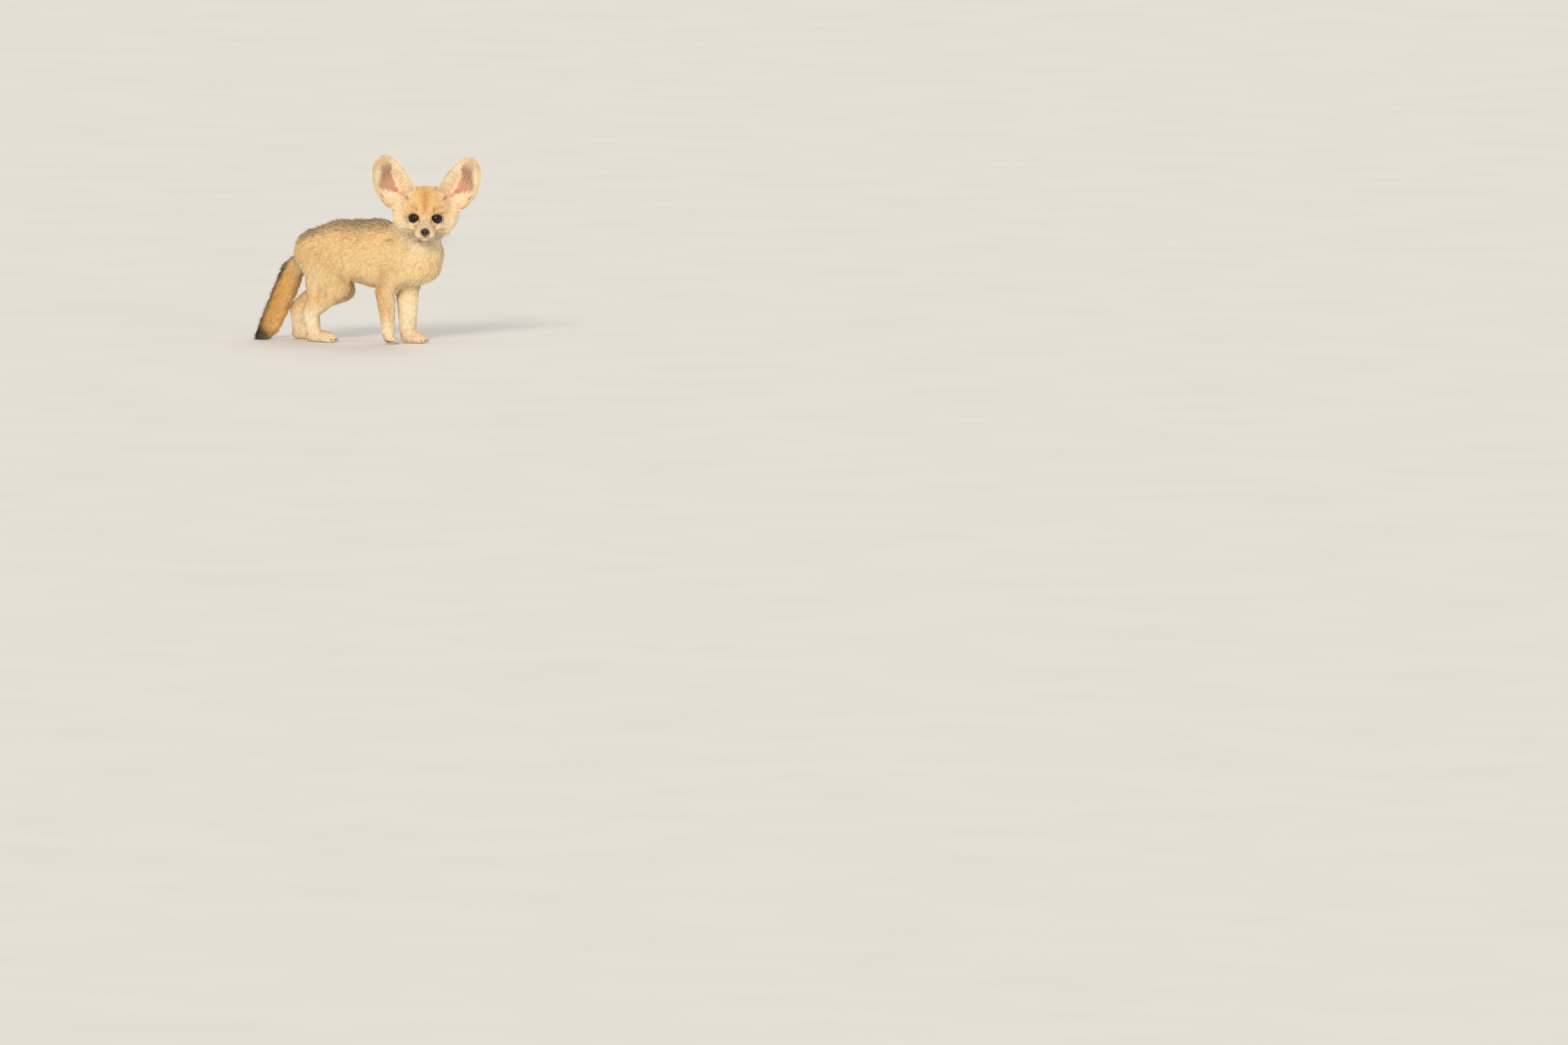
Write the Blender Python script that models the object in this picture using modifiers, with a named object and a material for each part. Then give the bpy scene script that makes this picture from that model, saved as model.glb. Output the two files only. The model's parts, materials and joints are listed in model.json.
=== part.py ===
"""A fennec fox kit, life size, standing and looking back over its right shoulder.

The animal faces +X with its left side towards +Y, and its soles are flat on Z = 0. Sizes are
written in millimetres and become metres as each piece is built. They are those of the coat's
outer surface, not of the bare skin.

The flesh is modelled whole. Named masses (ovals for muscles, tapered rods for limbs) are
melted together by a voxel Remesh and a Smooth, thinned by a Decimate, and then parted into
torso, neck, head and legs with thin cuts. Ears, tail, eyes and nose are pieces of their own,
trimmed to stand a hair clear of what they grow from. The long hair of the tail's brush and
of the ears' inner fringes is a set of flat tapered locks fused with its node.
"""

import math
import random
from collections import namedtuple

import bmesh
import bpy
from mathutils import Matrix, Vector
from mathutils.bvhtree import BVHTree

MM = 0.001
GAP = 0.36  # between two parts that touch
ARCH_STEPS = 7
GROUND = 0.25  # the height at which the soles are cut flat

FLESH_VOXEL = 1.25
FLESH_SMOOTHING = 110
SOFTNESS = {"trunk": 1.0, "leg": 0.25, "paw": 0.07, "cheek": 0.55, "face": 0.09}
TAIL_VOXEL = 1.6
TAIL_SMOOTHING = 10
TRIANGLES = {"flesh": 24000, "torso": 1500, "neck": 300, "head": 2600, "foreleg": 620, "hindleg": 720,
             "tail": 420, "nose": 400}

# The head looks to the right of the body's +X, and a little down
HEAD_CENTRE = Vector((88, -11, 163))
HEAD_TURN = -63
HEAD_PITCH = 3
HEAD_ROLL = -1.5
RIBS_TURN = -8  # the ribs point a little to the right of the hips

# Feet: where each leg's wrist or ankle comes down, and which way its toes point
Foot = namedtuple("Foot", "x y toes_turn width reach")
FORE_FEET = {"right": Foot(38, -16, -25, 11.0, 17), "left": Foot(49, 16, -6, 11.0, 22)}
HIND_FEET = {"right": Foot(-64, -19, -4, 10.6, 28), "left": Foot(-104, 19, 0, 10.6, 26)}

# The head's own axes are forward, left and up, from the middle of the braincase
EYE_CENTRE = (19.8, 13.0, -3.9)
EYE_RADIUS = 7.7
EYE_TURN = 17  # each eye looks a little outwards
EYE_TILT = 10  # its outer corner is higher
EYE_OPENING = (6.0, 4.8)
LID = 1.3
LIP_GROOVE = 0.8
NOSE_CENTRE = (45.2, 0.4, -18.6)
NOSE_RADII = (5.6, 5.6, 4.7)
EAR_ROOT = (1, 27.5, 14)
EAR_TIP = (-11, 55, 67)
EAR_OUTER = (26.5, 37, 34)  # half width, its distance from the tip, and its reach below that
EAR_INNER = (20.5, 46, 40)
EAR_DEPTH = 18
EAR_TURN = 14  # each cup faces a little outwards
EAR_WALL = 1.5

# The tail hangs down and back to the ground
TAIL = (((-86, 0, 101), 13.5), ((-100, 0, 88), 14.6), ((-108, -2.5, 70), 14.8), ((-114.5, -6.5, 52), 14.2),
        ((-121, -10, 36), 13.4), ((-127.5, -13, 20), 11.5), ((-135, -15.5, 7), 6.5))
TAIL_CORE = 0.74  # the part of its thickness that is solid under the locks

# Locks of long hair: each is a flat spindle with a blunt root and a pointed tip
LOCK_STOPS = (0, 0.28, 0.58, 0.84, 1)
LOCK_WIDTHS = (0.55, 0.95, 1.0, 0.62)
BRUSH_RINGS = 6
BRUSH_ACROSS = 6
FRINGE_LOCKS = 8
SEED = 11
SLIVER = 0.02

PARTS = bpy.data.collections.new("fennec_fox")
CUTTERS = bpy.data.collections.new("cutters")
LOCKS = bpy.data.collections.new("locks")


def start_scene():
    for thing in list(bpy.data.objects):
        bpy.data.objects.remove(thing)
    for collection in (PARTS, CUTTERS, LOCKS):
        bpy.context.scene.collection.children.link(collection)


def turn_about_z(degrees):
    return Matrix.Rotation(math.radians(degrees), 4, "Z")


HEAD = (Matrix.Translation(HEAD_CENTRE) @ turn_about_z(HEAD_TURN)
        @ Matrix.Rotation(math.radians(HEAD_PITCH), 4, "Y") @ Matrix.Rotation(math.radians(HEAD_ROLL), 4, "X"))
RIBS = turn_about_z(RIBS_TURN)
LEVEL = Matrix.Identity(4)


def mirrored(place, side):
    """side is 1 on the animal's left and -1 on its right."""
    return place[0], place[1] * side, place[2]


class Masses:
    """A mesh of overlapping closed forms, placed in one frame and given in millimetres."""

    def __init__(self, frame=LEVEL):
        self.bm = bmesh.new()
        self.frame = frame

    def oval(self, centre, radii, turned=LEVEL):
        place = self.frame @ Matrix.Translation(centre) @ turned.to_3x3().to_4x4() @ Matrix.Diagonal((*radii, 1))
        bmesh.ops.create_icosphere(self.bm, subdivisions=3, radius=1, matrix=Matrix.Scale(MM, 4) @ place)

    def rod(self, start, end, start_radius, end_radius):
        """A limb with round ends that tapers from one radius to the other."""
        start, end = self.frame @ Vector(start), self.frame @ Vector(end)
        along = end - start
        place = Matrix.Translation((start + end) / 2) @ along.to_track_quat("Z", "Y").to_matrix().to_4x4()
        bmesh.ops.create_cone(self.bm, cap_ends=True, segments=20, radius1=start_radius, radius2=end_radius,
                              depth=along.length, matrix=Matrix.Scale(MM, 4) @ place)
        for point, radius in ((start, start_radius), (end, end_radius)):
            place = Matrix.Translation(point) @ Matrix.Scale(radius, 4)
            bmesh.ops.create_icosphere(self.bm, subdivisions=2, radius=1, matrix=Matrix.Scale(MM, 4) @ place)

    def chain(self, stops):
        for (start, start_radius), (end, end_radius) in zip(stops, stops[1:]):
            self.rod(start, end, start_radius, end_radius)

    def make(self, name, collection):
        mesh = bpy.data.meshes.new(name)
        self.bm.to_mesh(mesh)
        self.bm.free()
        return place_object(name, mesh, collection)


def place_object(name, mesh, collection):
    thing = bpy.data.objects.new(name, mesh)
    collection.objects.link(thing)
    return thing


def hide(thing):
    thing.hide_render = True
    thing.display_type = "WIRE"


def settle(thing):
    """Applies the object's modifiers by taking its evaluated mesh."""
    evaluated = thing.evaluated_get(bpy.context.evaluated_depsgraph_get())
    mesh = bpy.data.meshes.new_from_object(evaluated)
    thing.modifiers.clear()
    old, thing.data = thing.data, mesh
    mesh.name = thing.name
    bpy.data.meshes.remove(old)
    return thing


def melt(thing, voxel, smoothing, triangles, softness=None):
    """Runs overlapping masses into one soft skin of about the given number of triangles."""
    remesh = thing.modifiers.new("melt", "REMESH")
    remesh.mode = "VOXEL"
    remesh.voxel_size = voxel * MM
    settle(thing)
    smooth = thing.modifiers.new("soften", "SMOOTH")
    smooth.factor = 0.5
    smooth.iterations = smoothing
    if softness:
        group = thing.vertex_groups.new(name="softness")
        for vertex in thing.data.vertices:
            group.add((vertex.index,), softness(vertex.co / MM), "REPLACE")
        smooth.vertex_group = group.name
    settle(thing)
    return thin_out(thing, triangles)


def thin_out(thing, triangles):
    """Leaves about the given number of triangles, more of them where the form turns sharply."""
    thing.modifiers.new("facets", "TRIANGULATE")
    settle(thing)
    thin = thing.modifiers.new("thin", "DECIMATE")
    thin.ratio = min(1, triangles / len(thing.data.polygons))
    return settle(thing)


def combine(thing, other, operation, solver="EXACT"):
    """One Boolean of an object with another, or with all the objects of a collection."""
    boolean = thing.modifiers.new("combine", "BOOLEAN")
    boolean.operation = operation
    boolean.solver = solver
    if isinstance(other, bpy.types.Collection):
        boolean.operand_type = "COLLECTION"
        boolean.collection = other
    else:
        boolean.object = other
    return settle(thing)


def grown(thing, by=GAP):
    """A helper: a copy of the object that stands out from it by a thin gap."""
    copy = place_object(thing.name + "_grown", thing.data.copy(), CUTTERS)
    swell = copy.modifiers.new("swell", "DISPLACE")
    swell.strength = by * MM
    swell.mid_level = 0
    hide(copy)
    return settle(copy)


def loose_pieces(thing):
    """The closed surfaces of an object's mesh, each as a bmesh, largest first."""
    whole = bmesh.new()
    whole.from_mesh(thing.data)
    bmesh.ops.remove_doubles(whole, verts=whole.verts, dist=0.0001 * MM)
    whole.verts.ensure_lookup_table()
    group, groups = {}, []
    for seed in whole.verts:
        if seed in group:
            continue
        group[seed] = len(groups)
        members, front = [seed], [seed]
        while front:
            for edge in front.pop().link_edges:
                for vertex in edge.verts:
                    if vertex not in group:
                        group[vertex] = len(groups)
                        members.append(vertex)
                        front.append(vertex)
        groups.append(members)
    pieces = []
    for number in range(len(groups)):
        piece = whole.copy()
        piece.verts.ensure_lookup_table()
        strangers = [piece.verts[v.index] for v in whole.verts if group[v] != number]
        bmesh.ops.delete(piece, geom=strangers, context="VERTS")
        pieces.append(piece)
    whole.free()
    return sorted(pieces, key=lambda piece: -abs(piece.calc_volume(signed=True)))


def keep_largest(thing):
    pieces = loose_pieces(thing)
    pieces[0].to_mesh(thing.data)
    for piece in pieces:
        piece.free()


def middle_of(piece):
    total = Vector((0, 0, 0))
    for vertex in piece.verts:
        total += vertex.co
    return total / len(piece.verts) / MM


# The masses of the body

def add_trunk(m):
    m.oval((-66, 0, 109), (31, 27, 30))
    m.oval((-46, 1, 117), (36, 26, 28))
    m.oval((-30, 3, 114), (46, 28, 36))
    m.oval((-9, 3, 112), (34, 28.5, 39))
    m.oval((16, 3, 110), (50, 31, 42), RIBS)
    m.oval((69.5, 1, 111), (33.5, 31, 36.5), RIBS)
    m.oval((42, 1, 129), (32, 22, 19), RIBS)
    m.oval((46, 2, 96), (34, 27, 26), RIBS)
    for side in (-1, 1):
        m.oval((46, side * 18, 103), (24, 13, 30))
        m.oval((-58, side * 13, 111), (28, 15, 26))


def add_neck(m):
    m.rod((64, 1, 120), (82, -4, 152), 31, 26)
    m.rod((44, 4, 123), (76, 7, 157), 23, 22)
    m.oval((80, -7, 128), (22, 24, 24), RIBS)


def add_paw(m, foot):
    """A low pad and four toes that fan out ahead of the leg."""
    turned = turn_about_z(foot.toes_turn)
    frame = Matrix.Translation((foot.x, foot.y, 0)) @ turned
    m.oval(frame @ Vector((foot.reach * 0.35, 0, 6.5)), (foot.reach * 0.8, foot.width, 8.5), turned)
    for across, shorter in ((-7.4, 4.0), (-2.7, 0), (2.7, 0), (7.4, 4.0)):
        knuckle = frame @ Vector((foot.reach * 0.5, across * 0.8, 6.6))
        tip = frame @ Vector((foot.reach - shorter, across, 4.4))
        m.rod(knuckle, tip, 5.4, 4.7)


def add_fore_leg(m, side):
    foot = FORE_FEET["left" if side > 0 else "right"]
    wrist = (foot.x, foot.y, 20)
    elbow = (foot.x - 2.5, side * 19, 66)
    m.chain(((elbow, 14.2), ((foot.x - 1, side * 17, 42), 12.2), (wrist, 10.9), ((foot.x + 1, foot.y, 7), 9.6)))
    m.rod(elbow, (50, side * 17, 92), 14.5, 20)
    add_paw(m, foot)


def add_hind_leg(m, side):
    """The right leg stands forward under the belly, and the left one well back."""
    foot = HIND_FEET["left" if side > 0 else "right"]
    if side < 0:
        knee, hock = (-29, -22, 72), (foot.x - 4, -19, 37)
        thigh, calf = (-60, -13, 96), (-58, -18, 57)
    else:
        knee, hock = (-45, 20, 64), (foot.x - 1, 19, 38)
        thigh, calf = (-66, 13, 96), (-76, 18, 60)
    ankle = (foot.x, foot.y, 9)
    m.rod((-62, side * 12, 102), knee, 24, 16.5)
    m.rod(thigh, calf, 19.5, 13.5)
    m.chain(((knee, 15.5), (hock, 10.6), ((foot.x - 1, foot.y, 22), 9.6), (ankle, 8.8)))
    m.rod(calf, (hock[0] - 3, hock[1], hock[2] + 1), 12.5, 8.5)
    add_paw(m, foot)


# The head, in its own frame

def add_skull(m):
    m.oval((-3, 0, 5), (33, 31, 28))
    m.oval((9, 0, 8), (20, 23, 19))
    m.rod((14, 0, -8), (40, 0, -17.2), 14, 6.6)
    m.rod((10, 0, -21), (38, 0, -26.0), 13, 5.6)
    for side in (-1, 1):
        m.oval(mirrored((0, 20, -13), side), (20.5, 19, 18.5))
        m.oval(mirrored((-3, 13, -3), side), (23, 21, 22))
        m.oval(mirrored((13, 11.5, -18), side), (15, 12, 10.5))
        m.oval(mirrored((35, 6.6, -20.4), side), (10, 8, 7))
        m.oval(mirrored(EYE_CENTRE, side), (EYE_RADIUS + 0.5,) * 3)
        m.rod(mirrored((-3, 32.5, 5.5), side), mirrored((-2, 24, -12), side), 8.5, 14)


def make_flesh():
    body = Masses()
    add_trunk(body)
    add_neck(body)
    for side in (-1, 1):
        add_fore_leg(body, side)
        add_hind_leg(body, side)
    body.frame = HEAD
    add_skull(body)
    flesh = body.make("flesh", CUTTERS)
    return melt(flesh, FLESH_VOXEL, FLESH_SMOOTHING, TRIANGLES["flesh"], flesh_softness)


def ramp(value, low, high):
    return min(1, max(0, (value - low) / (high - low)))


def mix(first, second, share):
    return first + (second - first) * share


def flesh_softness(point):
    """Full smoothing over the trunk, and less down the legs and towards the face."""
    body = mix(mix(SOFTNESS["paw"], SOFTNESS["leg"], ramp(point.z, 10, 32)), SOFTNESS["trunk"], ramp(point.z, 60, 82))
    ahead = (HEAD.inverted() @ point).x
    head = mix(SOFTNESS["cheek"], SOFTNESS["face"], ramp(ahead, 5, 17))
    return mix(head, body, ramp((point - HEAD_CENTRE).length, 44, 60))


# Locks of long hair

def add_lock(spine, facings, width, thickness):
    """One closed lock along five points, each with the direction in which its flat side faces."""
    bm = bmesh.new()
    rings = []
    for i, share in enumerate(LOCK_WIDTHS):
        along = (spine[i + 1] - spine[max(0, i - 1)]).normalized()
        across = along.cross(facings[i]).normalized()
        outward = across.cross(along)
        offsets = (across * width / 2, outward * thickness / 2, -across * width / 2, -outward * thickness / 2)
        rings.append([bm.verts.new((spine[i] + offset * share) * MM) for offset in offsets])
    tip = bm.verts.new(spine[-1] * MM)
    bm.faces.new(rings[0])
    for lower, upper in zip(rings, rings[1:]):
        for i in range(4):
            bm.faces.new((lower[i], lower[i - 1], upper[i - 1], upper[i]))
    for i in range(4):
        bm.faces.new((rings[-1][i], rings[-1][i - 1], tip))
    bmesh.ops.recalc_face_normals(bm, faces=bm.faces)
    bmesh.ops.triangulate(bm, faces=bm.faces)
    mesh = bpy.data.meshes.new("lock")
    bm.to_mesh(mesh)
    bm.free()
    place_object("lock", mesh, LOCKS)


def drop_slivers(thing):
    bm = bmesh.new()
    bm.from_mesh(thing.data)
    bmesh.ops.triangulate(bm, faces=bm.faces)
    bmesh.ops.dissolve_degenerate(bm, edges=bm.edges, dist=SLIVER * MM)
    bm.to_mesh(thing.data)
    bm.free()


def fuse_locks(thing):
    """Joins all the locks made so far to one part."""
    drop_slivers(thing)
    combine(thing, LOCKS, "UNION", "MANIFOLD")
    for lock in list(LOCKS.objects):
        bpy.data.objects.remove(lock)
    keep_largest(thing)


# The tail

def tail_at(distance):
    """The tail's middle, its direction and its radius at this distance from the first stop, or beyond the last."""
    for (start, start_radius), (end, end_radius) in zip(TAIL, TAIL[1:]):
        start, end = Vector(start), Vector(end)
        length = (end - start).length
        if distance <= length or end == Vector(TAIL[-1][0]):
            share = min(1.4, distance / length)
            return start.lerp(end, share), (end - start).normalized(), mix(start_radius, end_radius, share)
        distance -= length


def tail_length():
    return sum((Vector(b[0]) - Vector(a[0])).length for a, b in zip(TAIL, TAIL[1:]))


def add_brush(draw):
    """Rings of locks along the tail, each ring lapping over the next, and the last one closing to a point."""
    length = tail_length()
    step = (length + 4) / BRUSH_RINGS
    for ring in range(BRUSH_RINGS):
        for k in range(BRUSH_ACROSS):
            begin = step * (ring - 0.2) + draw.uniform(-2, 2)
            reach = step * draw.uniform(1.45, 1.75)
            angle = 2 * math.pi * (k + 0.5 * (ring % 2) + draw.uniform(-0.1, 0.1)) / BRUSH_ACROSS
            spine, facings = [], []
            for share in LOCK_STOPS:
                middle, along, radius = tail_at(begin + reach * share)
                sideways = along.cross(Vector((0, 1, 0))).normalized()
                outward = sideways * math.cos(angle) + along.cross(sideways) * math.sin(angle)
                rise = mix(TAIL_CORE * radius - 3, radius + 0.9, math.sin(share * math.pi / 2))
                point = middle + outward * max(1, rise)
                spine.append(Vector((point.x, point.y, max(GROUND + 1.2, point.z))))
                facings.append(outward)
            add_lock(spine, facings, draw.uniform(12, 14), 3.0)


def make_tail():
    core = Masses()
    core.chain([(place, radius * TAIL_CORE) for place, radius in TAIL])
    tail = melt(core.make("tail", PARTS), TAIL_VOXEL, TAIL_SMOOTHING, TRIANGLES["tail"])
    add_brush(random.Random(SEED))
    fuse_locks(tail)
    return tail


# Cutters

def slab(name, at, facing, size, thickness):
    """A box, thin or thick, across the given direction and centred on a point."""
    bm = bmesh.new()
    turned = Vector(facing).to_track_quat("Z", "Y").to_matrix().to_4x4()
    shape = Matrix.Translation(at) @ turned @ Matrix.Diagonal((*size, thickness, 1))
    bmesh.ops.create_cube(bm, size=1, matrix=Matrix.Scale(MM, 4) @ shape)
    mesh = bpy.data.meshes.new(name)
    bm.to_mesh(mesh)
    bm.free()
    cutter = place_object(name, mesh, CUTTERS)
    hide(cutter)
    return cutter


def leg_sleeve(name, side, rear, front, inner, groin, top):
    """A thin-walled sleeve round one leg: upright to the groin, then an arch that leans out over hip or shoulder."""
    levels = [(-12, inner, 1), (groin, inner, 1)]
    for step in range(1, ARCH_STEPS + 1):
        t = 0.98 * step / ARCH_STEPS
        levels.append((mix(groin, top[1], t), mix(inner, top[0], t), math.sqrt(1 - t * t)))
    middle, half = (rear + front) / 2, (front - rear) / 2
    bm = bmesh.new()
    rings = []
    for z, y, width in levels:
        low, high = middle - half * width, middle + half * width
        corners = ((low, y, z), (high, y, z), (high, 64, z), (low, 64, z))
        rings.append([bm.verts.new(Vector((x, side * y, z)) * MM) for x, y, z in corners])
    bm.faces.new(rings[0])
    bm.faces.new(rings[-1])
    for lower, upper in zip(rings, rings[1:]):
        for i in range(4):
            bm.faces.new((lower[i], lower[i - 1], upper[i - 1], upper[i]))
    bmesh.ops.recalc_face_normals(bm, faces=bm.faces)
    mesh = bpy.data.meshes.new(name)
    bm.to_mesh(mesh)
    bm.free()
    sleeve = place_object(name, mesh, CUTTERS)
    wall = sleeve.modifiers.new("wall", "SOLIDIFY")
    wall.thickness = GAP * MM
    wall.offset = 0
    hide(sleeve)
    return settle(sleeve)


def part_flesh(flesh, ground):
    """Cuts the flesh through with thin gaps and names each piece by what it holds."""
    cutters = [
        slab("under", (0, 0, -30), (0, 0, 1), (400, 200), 60),
        slab("neck_cut", (66, 0, 130), (0.55, 0, 0.83), (110, 110), GAP),
        slab("head_cut", (75, -3, 138), (0.45, -0.35, 0.82), (110, 110), GAP),
        leg_sleeve("fore_right_cut", -1, 18, 66, 3, 66, (34, 114)),
        leg_sleeve("fore_left_cut", 1, 26, 80, 3, 66, (34, 114)),
        leg_sleeve("hind_right_cut", -1, -96, -8, 4, 72, (32, 122)),
        leg_sleeve("hind_left_cut", 1, -134, -16, 4, 72, (32, 122)),
    ]
    for cutter in cutters:
        combine(flesh, cutter, "DIFFERENCE")
    seats = {
        "torso": (0, 0, 115), "neck": (70, 0, 140), "head": tuple(HEAD_CENTRE),
        "foreleg_right": (40, -18, 40), "foreleg_left": (50, 18, 40),
        "hindleg_right": (-60, -18, 50), "hindleg_left": (-80, 18, 50),
    }
    pieces = loose_pieces(flesh)
    parts = {}
    for piece in pieces[:len(seats)]:
        middle = middle_of(piece)
        name = min((n for n in seats if n not in parts), key=lambda n: (middle - Vector(seats[n])).length)
        mesh = bpy.data.meshes.new(name)
        piece.to_mesh(mesh)
        parts[name] = thin_out(place_object(name, mesh, PARTS), TRIANGLES[name.split("_")[0]])
    for piece in pieces:
        piece.free()
    bpy.data.objects.remove(flesh)
    for name in parts:
        if "leg" in name:
            combine(parts[name], ground, "DIFFERENCE")
    return parts


# Eyes, nose, mouth and ears

def eye_frame(side):
    tilted = Matrix.Rotation(math.radians(-side * EYE_TILT), 4, "X")
    return HEAD @ Matrix.Translation(mirrored(EYE_CENTRE, side)) @ turn_about_z(side * EYE_TURN) @ tilted


def ball(name, frame, radii, segments, collection):
    bm = bmesh.new()
    shape = frame @ Matrix.Rotation(math.radians(90), 4, "Y") @ Matrix.Diagonal((radii[2], radii[1], radii[0], 1))
    bmesh.ops.create_uvsphere(bm, u_segments=segments, v_segments=segments // 2, radius=1,
                              matrix=Matrix.Scale(MM, 4) @ shape)
    mesh = bpy.data.meshes.new(name)
    bm.to_mesh(mesh)
    bm.free()
    return place_object(name, mesh, collection)


def make_eye(side):
    name = "eye_left" if side > 0 else "eye_right"
    return ball(name, eye_frame(side), (EYE_RADIUS,) * 3, 16, PARTS)


def add_lids(head, eye, side):
    """A shell over each eyeball, hollowed a hair wider than it and opened between the lids."""
    shell = ball("lid_shell", eye_frame(side), (EYE_RADIUS + LID,) * 3, 18, CUTTERS)
    hide(shell)
    combine(head, shell, "UNION")
    combine(head, grown(eye), "DIFFERENCE")
    bm = bmesh.new()
    along = eye_frame(side) @ Matrix.Translation((EYE_RADIUS, 0, 0)) @ Matrix.Rotation(math.radians(90), 4, "Y")
    shape = along @ Matrix.Diagonal((EYE_OPENING[1], EYE_OPENING[0], 1, 1))
    bmesh.ops.create_cone(bm, cap_ends=True, segments=18, radius1=0.94, radius2=1.12, depth=EYE_RADIUS,
                          matrix=Matrix.Scale(MM, 4) @ shape)
    mesh = bpy.data.meshes.new("eye_opening")
    bm.to_mesh(mesh)
    bm.free()
    opening = place_object("eye_opening", mesh, CUTTERS)
    hide(opening)
    combine(head, opening, "DIFFERENCE")


def groove(name, lines, radius, voxel=0.3, triangles=420):
    """A cutter: round rods along lines of points in the head's frame, melted into one."""
    rods = Masses(HEAD)
    for line in lines:
        rods.chain([(stop, radius) for stop in line])
    cutter = melt(rods.make(name, CUTTERS), voxel, 1, triangles)
    hide(cutter)
    return cutter


def on_muzzle(tree, left, up):
    """The point of the head's surface that shows at this place from straight ahead, in its own frame."""
    ahead = HEAD @ Vector((90, left, up))
    hit = tree.ray_cast(ahead * MM, -(HEAD.to_3x3() @ Vector((1, 0, 0))))[0]
    return HEAD.inverted() @ (hit / MM)


def cut_mouth(head):
    """The closed lips: one line round the front of the muzzle, and the short cleft under the nose."""
    tree = BVHTree.FromObject(head, bpy.context.evaluated_depsgraph_get())
    half = [(0, -25.2), (3.0, -26.6), (6.6, -27.2), (10.0, -26.8), (13.2, -25.4)]
    lines = [[on_muzzle(tree, side * left, up) for left, up in half] for side in (-1, 1)]
    lines.append([on_muzzle(tree, 0, up) for up in (-22.5, -25.2)])
    combine(head, groove("lips", lines, LIP_GROOVE), "DIFFERENCE")


def make_nose():
    pad = Masses(HEAD)
    pad.oval(NOSE_CENTRE, NOSE_RADII)
    pad.oval((43.4, 0, -20.2), (5.0, 3.6, 3.2))
    nose = melt(pad.make("nose", PARTS), 0.45, 4, TRIANGLES["nose"])
    for side in (-1, 1):
        hole = [mirrored(stop, side) for stop in ((47.0, 0.9, -18.8), (51.4, 2.2, -18.5), (49.2, 5.8, -17.3))]
        combine(nose, groove("nostril", [hole], 0.95, triangles=120), "DIFFERENCE")
    keep_largest(nose)
    return nose


def ear_half_width(edge, from_tip):
    """Both edges of an ear are arcs of long ellipses."""
    widest, at, reach = edge
    reach = at if from_tip < at else reach
    return widest * math.sqrt(max(0.01, 1 - ((from_tip - at) / reach) ** 2))


def make_ear(side):
    """An open cup: bowed across, broadest a third of the way up, with a wall of even thickness."""
    tip, length, axis, across, facing = ear_axes(side)
    rows, columns = 12, 12
    bm = bmesh.new()
    grid = []
    for i in range(rows + 1):
        # Rows crowd towards the tip, where the outline turns fastest
        share = 1.2 * (i / rows) ** 1.35
        from_tip = length * share
        depth = EAR_DEPTH * (0.05 + 0.95 * math.sin(min(1, share * 1.05) * math.pi / 2))
        depth *= 1 - 0.6 * ramp(share, 0.72, 1.1)
        row = []
        for j in range(columns + 1):
            s = 2 * j / columns - 1
            edge = EAR_OUTER if s > 0 else EAR_INNER
            sideways = ear_half_width(edge, from_tip) * math.sin(s * math.pi / 2)
            back = depth * math.cos(s * math.pi / 2) ** 1.2
            curl = 2.5 * (1 - share) * (1 - abs(s))
            sunk = 9 * max(0, share - 0.85) * (1 + s)  # the outer edge runs into the side of the head
            point = tip - axis * from_tip + across * sideways - facing * (back - curl + sunk)
            row.append(bm.verts.new(HEAD @ point * MM))
        grid.append(row)
    for upper, lower in zip(grid, grid[1:]):
        for j in range(columns):
            bm.faces.new((upper[j], upper[j + 1], lower[j + 1], lower[j]))
    mesh = bpy.data.meshes.new("ear")
    bm.to_mesh(mesh)
    bm.free()
    ear = place_object("ear_left" if side > 0 else "ear_right", mesh, PARTS)
    wall = ear.modifiers.new("wall", "SOLIDIFY")
    wall.thickness = EAR_WALL * MM
    wall.offset = 0
    settle(ear)
    add_fringe(side, random.Random(SEED))
    fuse_locks(ear)
    return ear


def ear_axes(side):
    """The ear's tip, its length and its own directions: up to the tip, out to the side, and ahead."""
    root, tip = Vector(mirrored(EAR_ROOT, side)), Vector(mirrored(EAR_TIP, side))
    axis = (tip - root).normalized()
    outward = Vector((math.sin(math.radians(EAR_TURN)), side * math.cos(math.radians(EAR_TURN)), 0))
    across = (outward - axis * outward.dot(axis)).normalized()
    return tip, (tip - root).length, axis, across, across.cross(axis) * side


def add_fringe(side, draw):
    """Long hair that grows from the ear's inner edge and lies over the cup, out and down."""
    tip, length, axis, across, facing = ear_axes(side)
    turned = HEAD.to_3x3()
    for k in range(FRINGE_LOCKS):
        from_tip = length * mix(0.24, 0.95, k / (FRINGE_LOCKS - 1))
        edge = tip - axis * from_tip - across * ear_half_width(EAR_INNER, from_tip)
        reach = draw.uniform(13, 16) * mix(0.7, 1.0, k / (FRINGE_LOCKS - 1))
        lie = (across * 0.83 - axis * 0.5).normalized()
        spine = [edge + lie * (reach * share) - facing * (1.4 - 3.0 * share + 2.8 * share ** 2)
                 for share in LOCK_STOPS]
        add_lock([HEAD @ point for point in spine], [turned @ facing] * len(spine), draw.uniform(5.2, 6.4), 1.5)


# Materials and assembly

COLOURS = {
    "torso": (0.70, 0.51, 0.29), "neck": (0.74, 0.57, 0.35), "head": (0.76, 0.55, 0.30),
    "ear": (0.80, 0.62, 0.45), "leg": (0.80, 0.66, 0.46), "tail": (0.62, 0.38, 0.15),
    "eye": (0.012, 0.008, 0.006), "nose": (0.06, 0.035, 0.03),
}
GLOSSY = {"eye": 0.05, "nose": 0.45}
FUR_ROUGHNESS = 0.9


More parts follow.
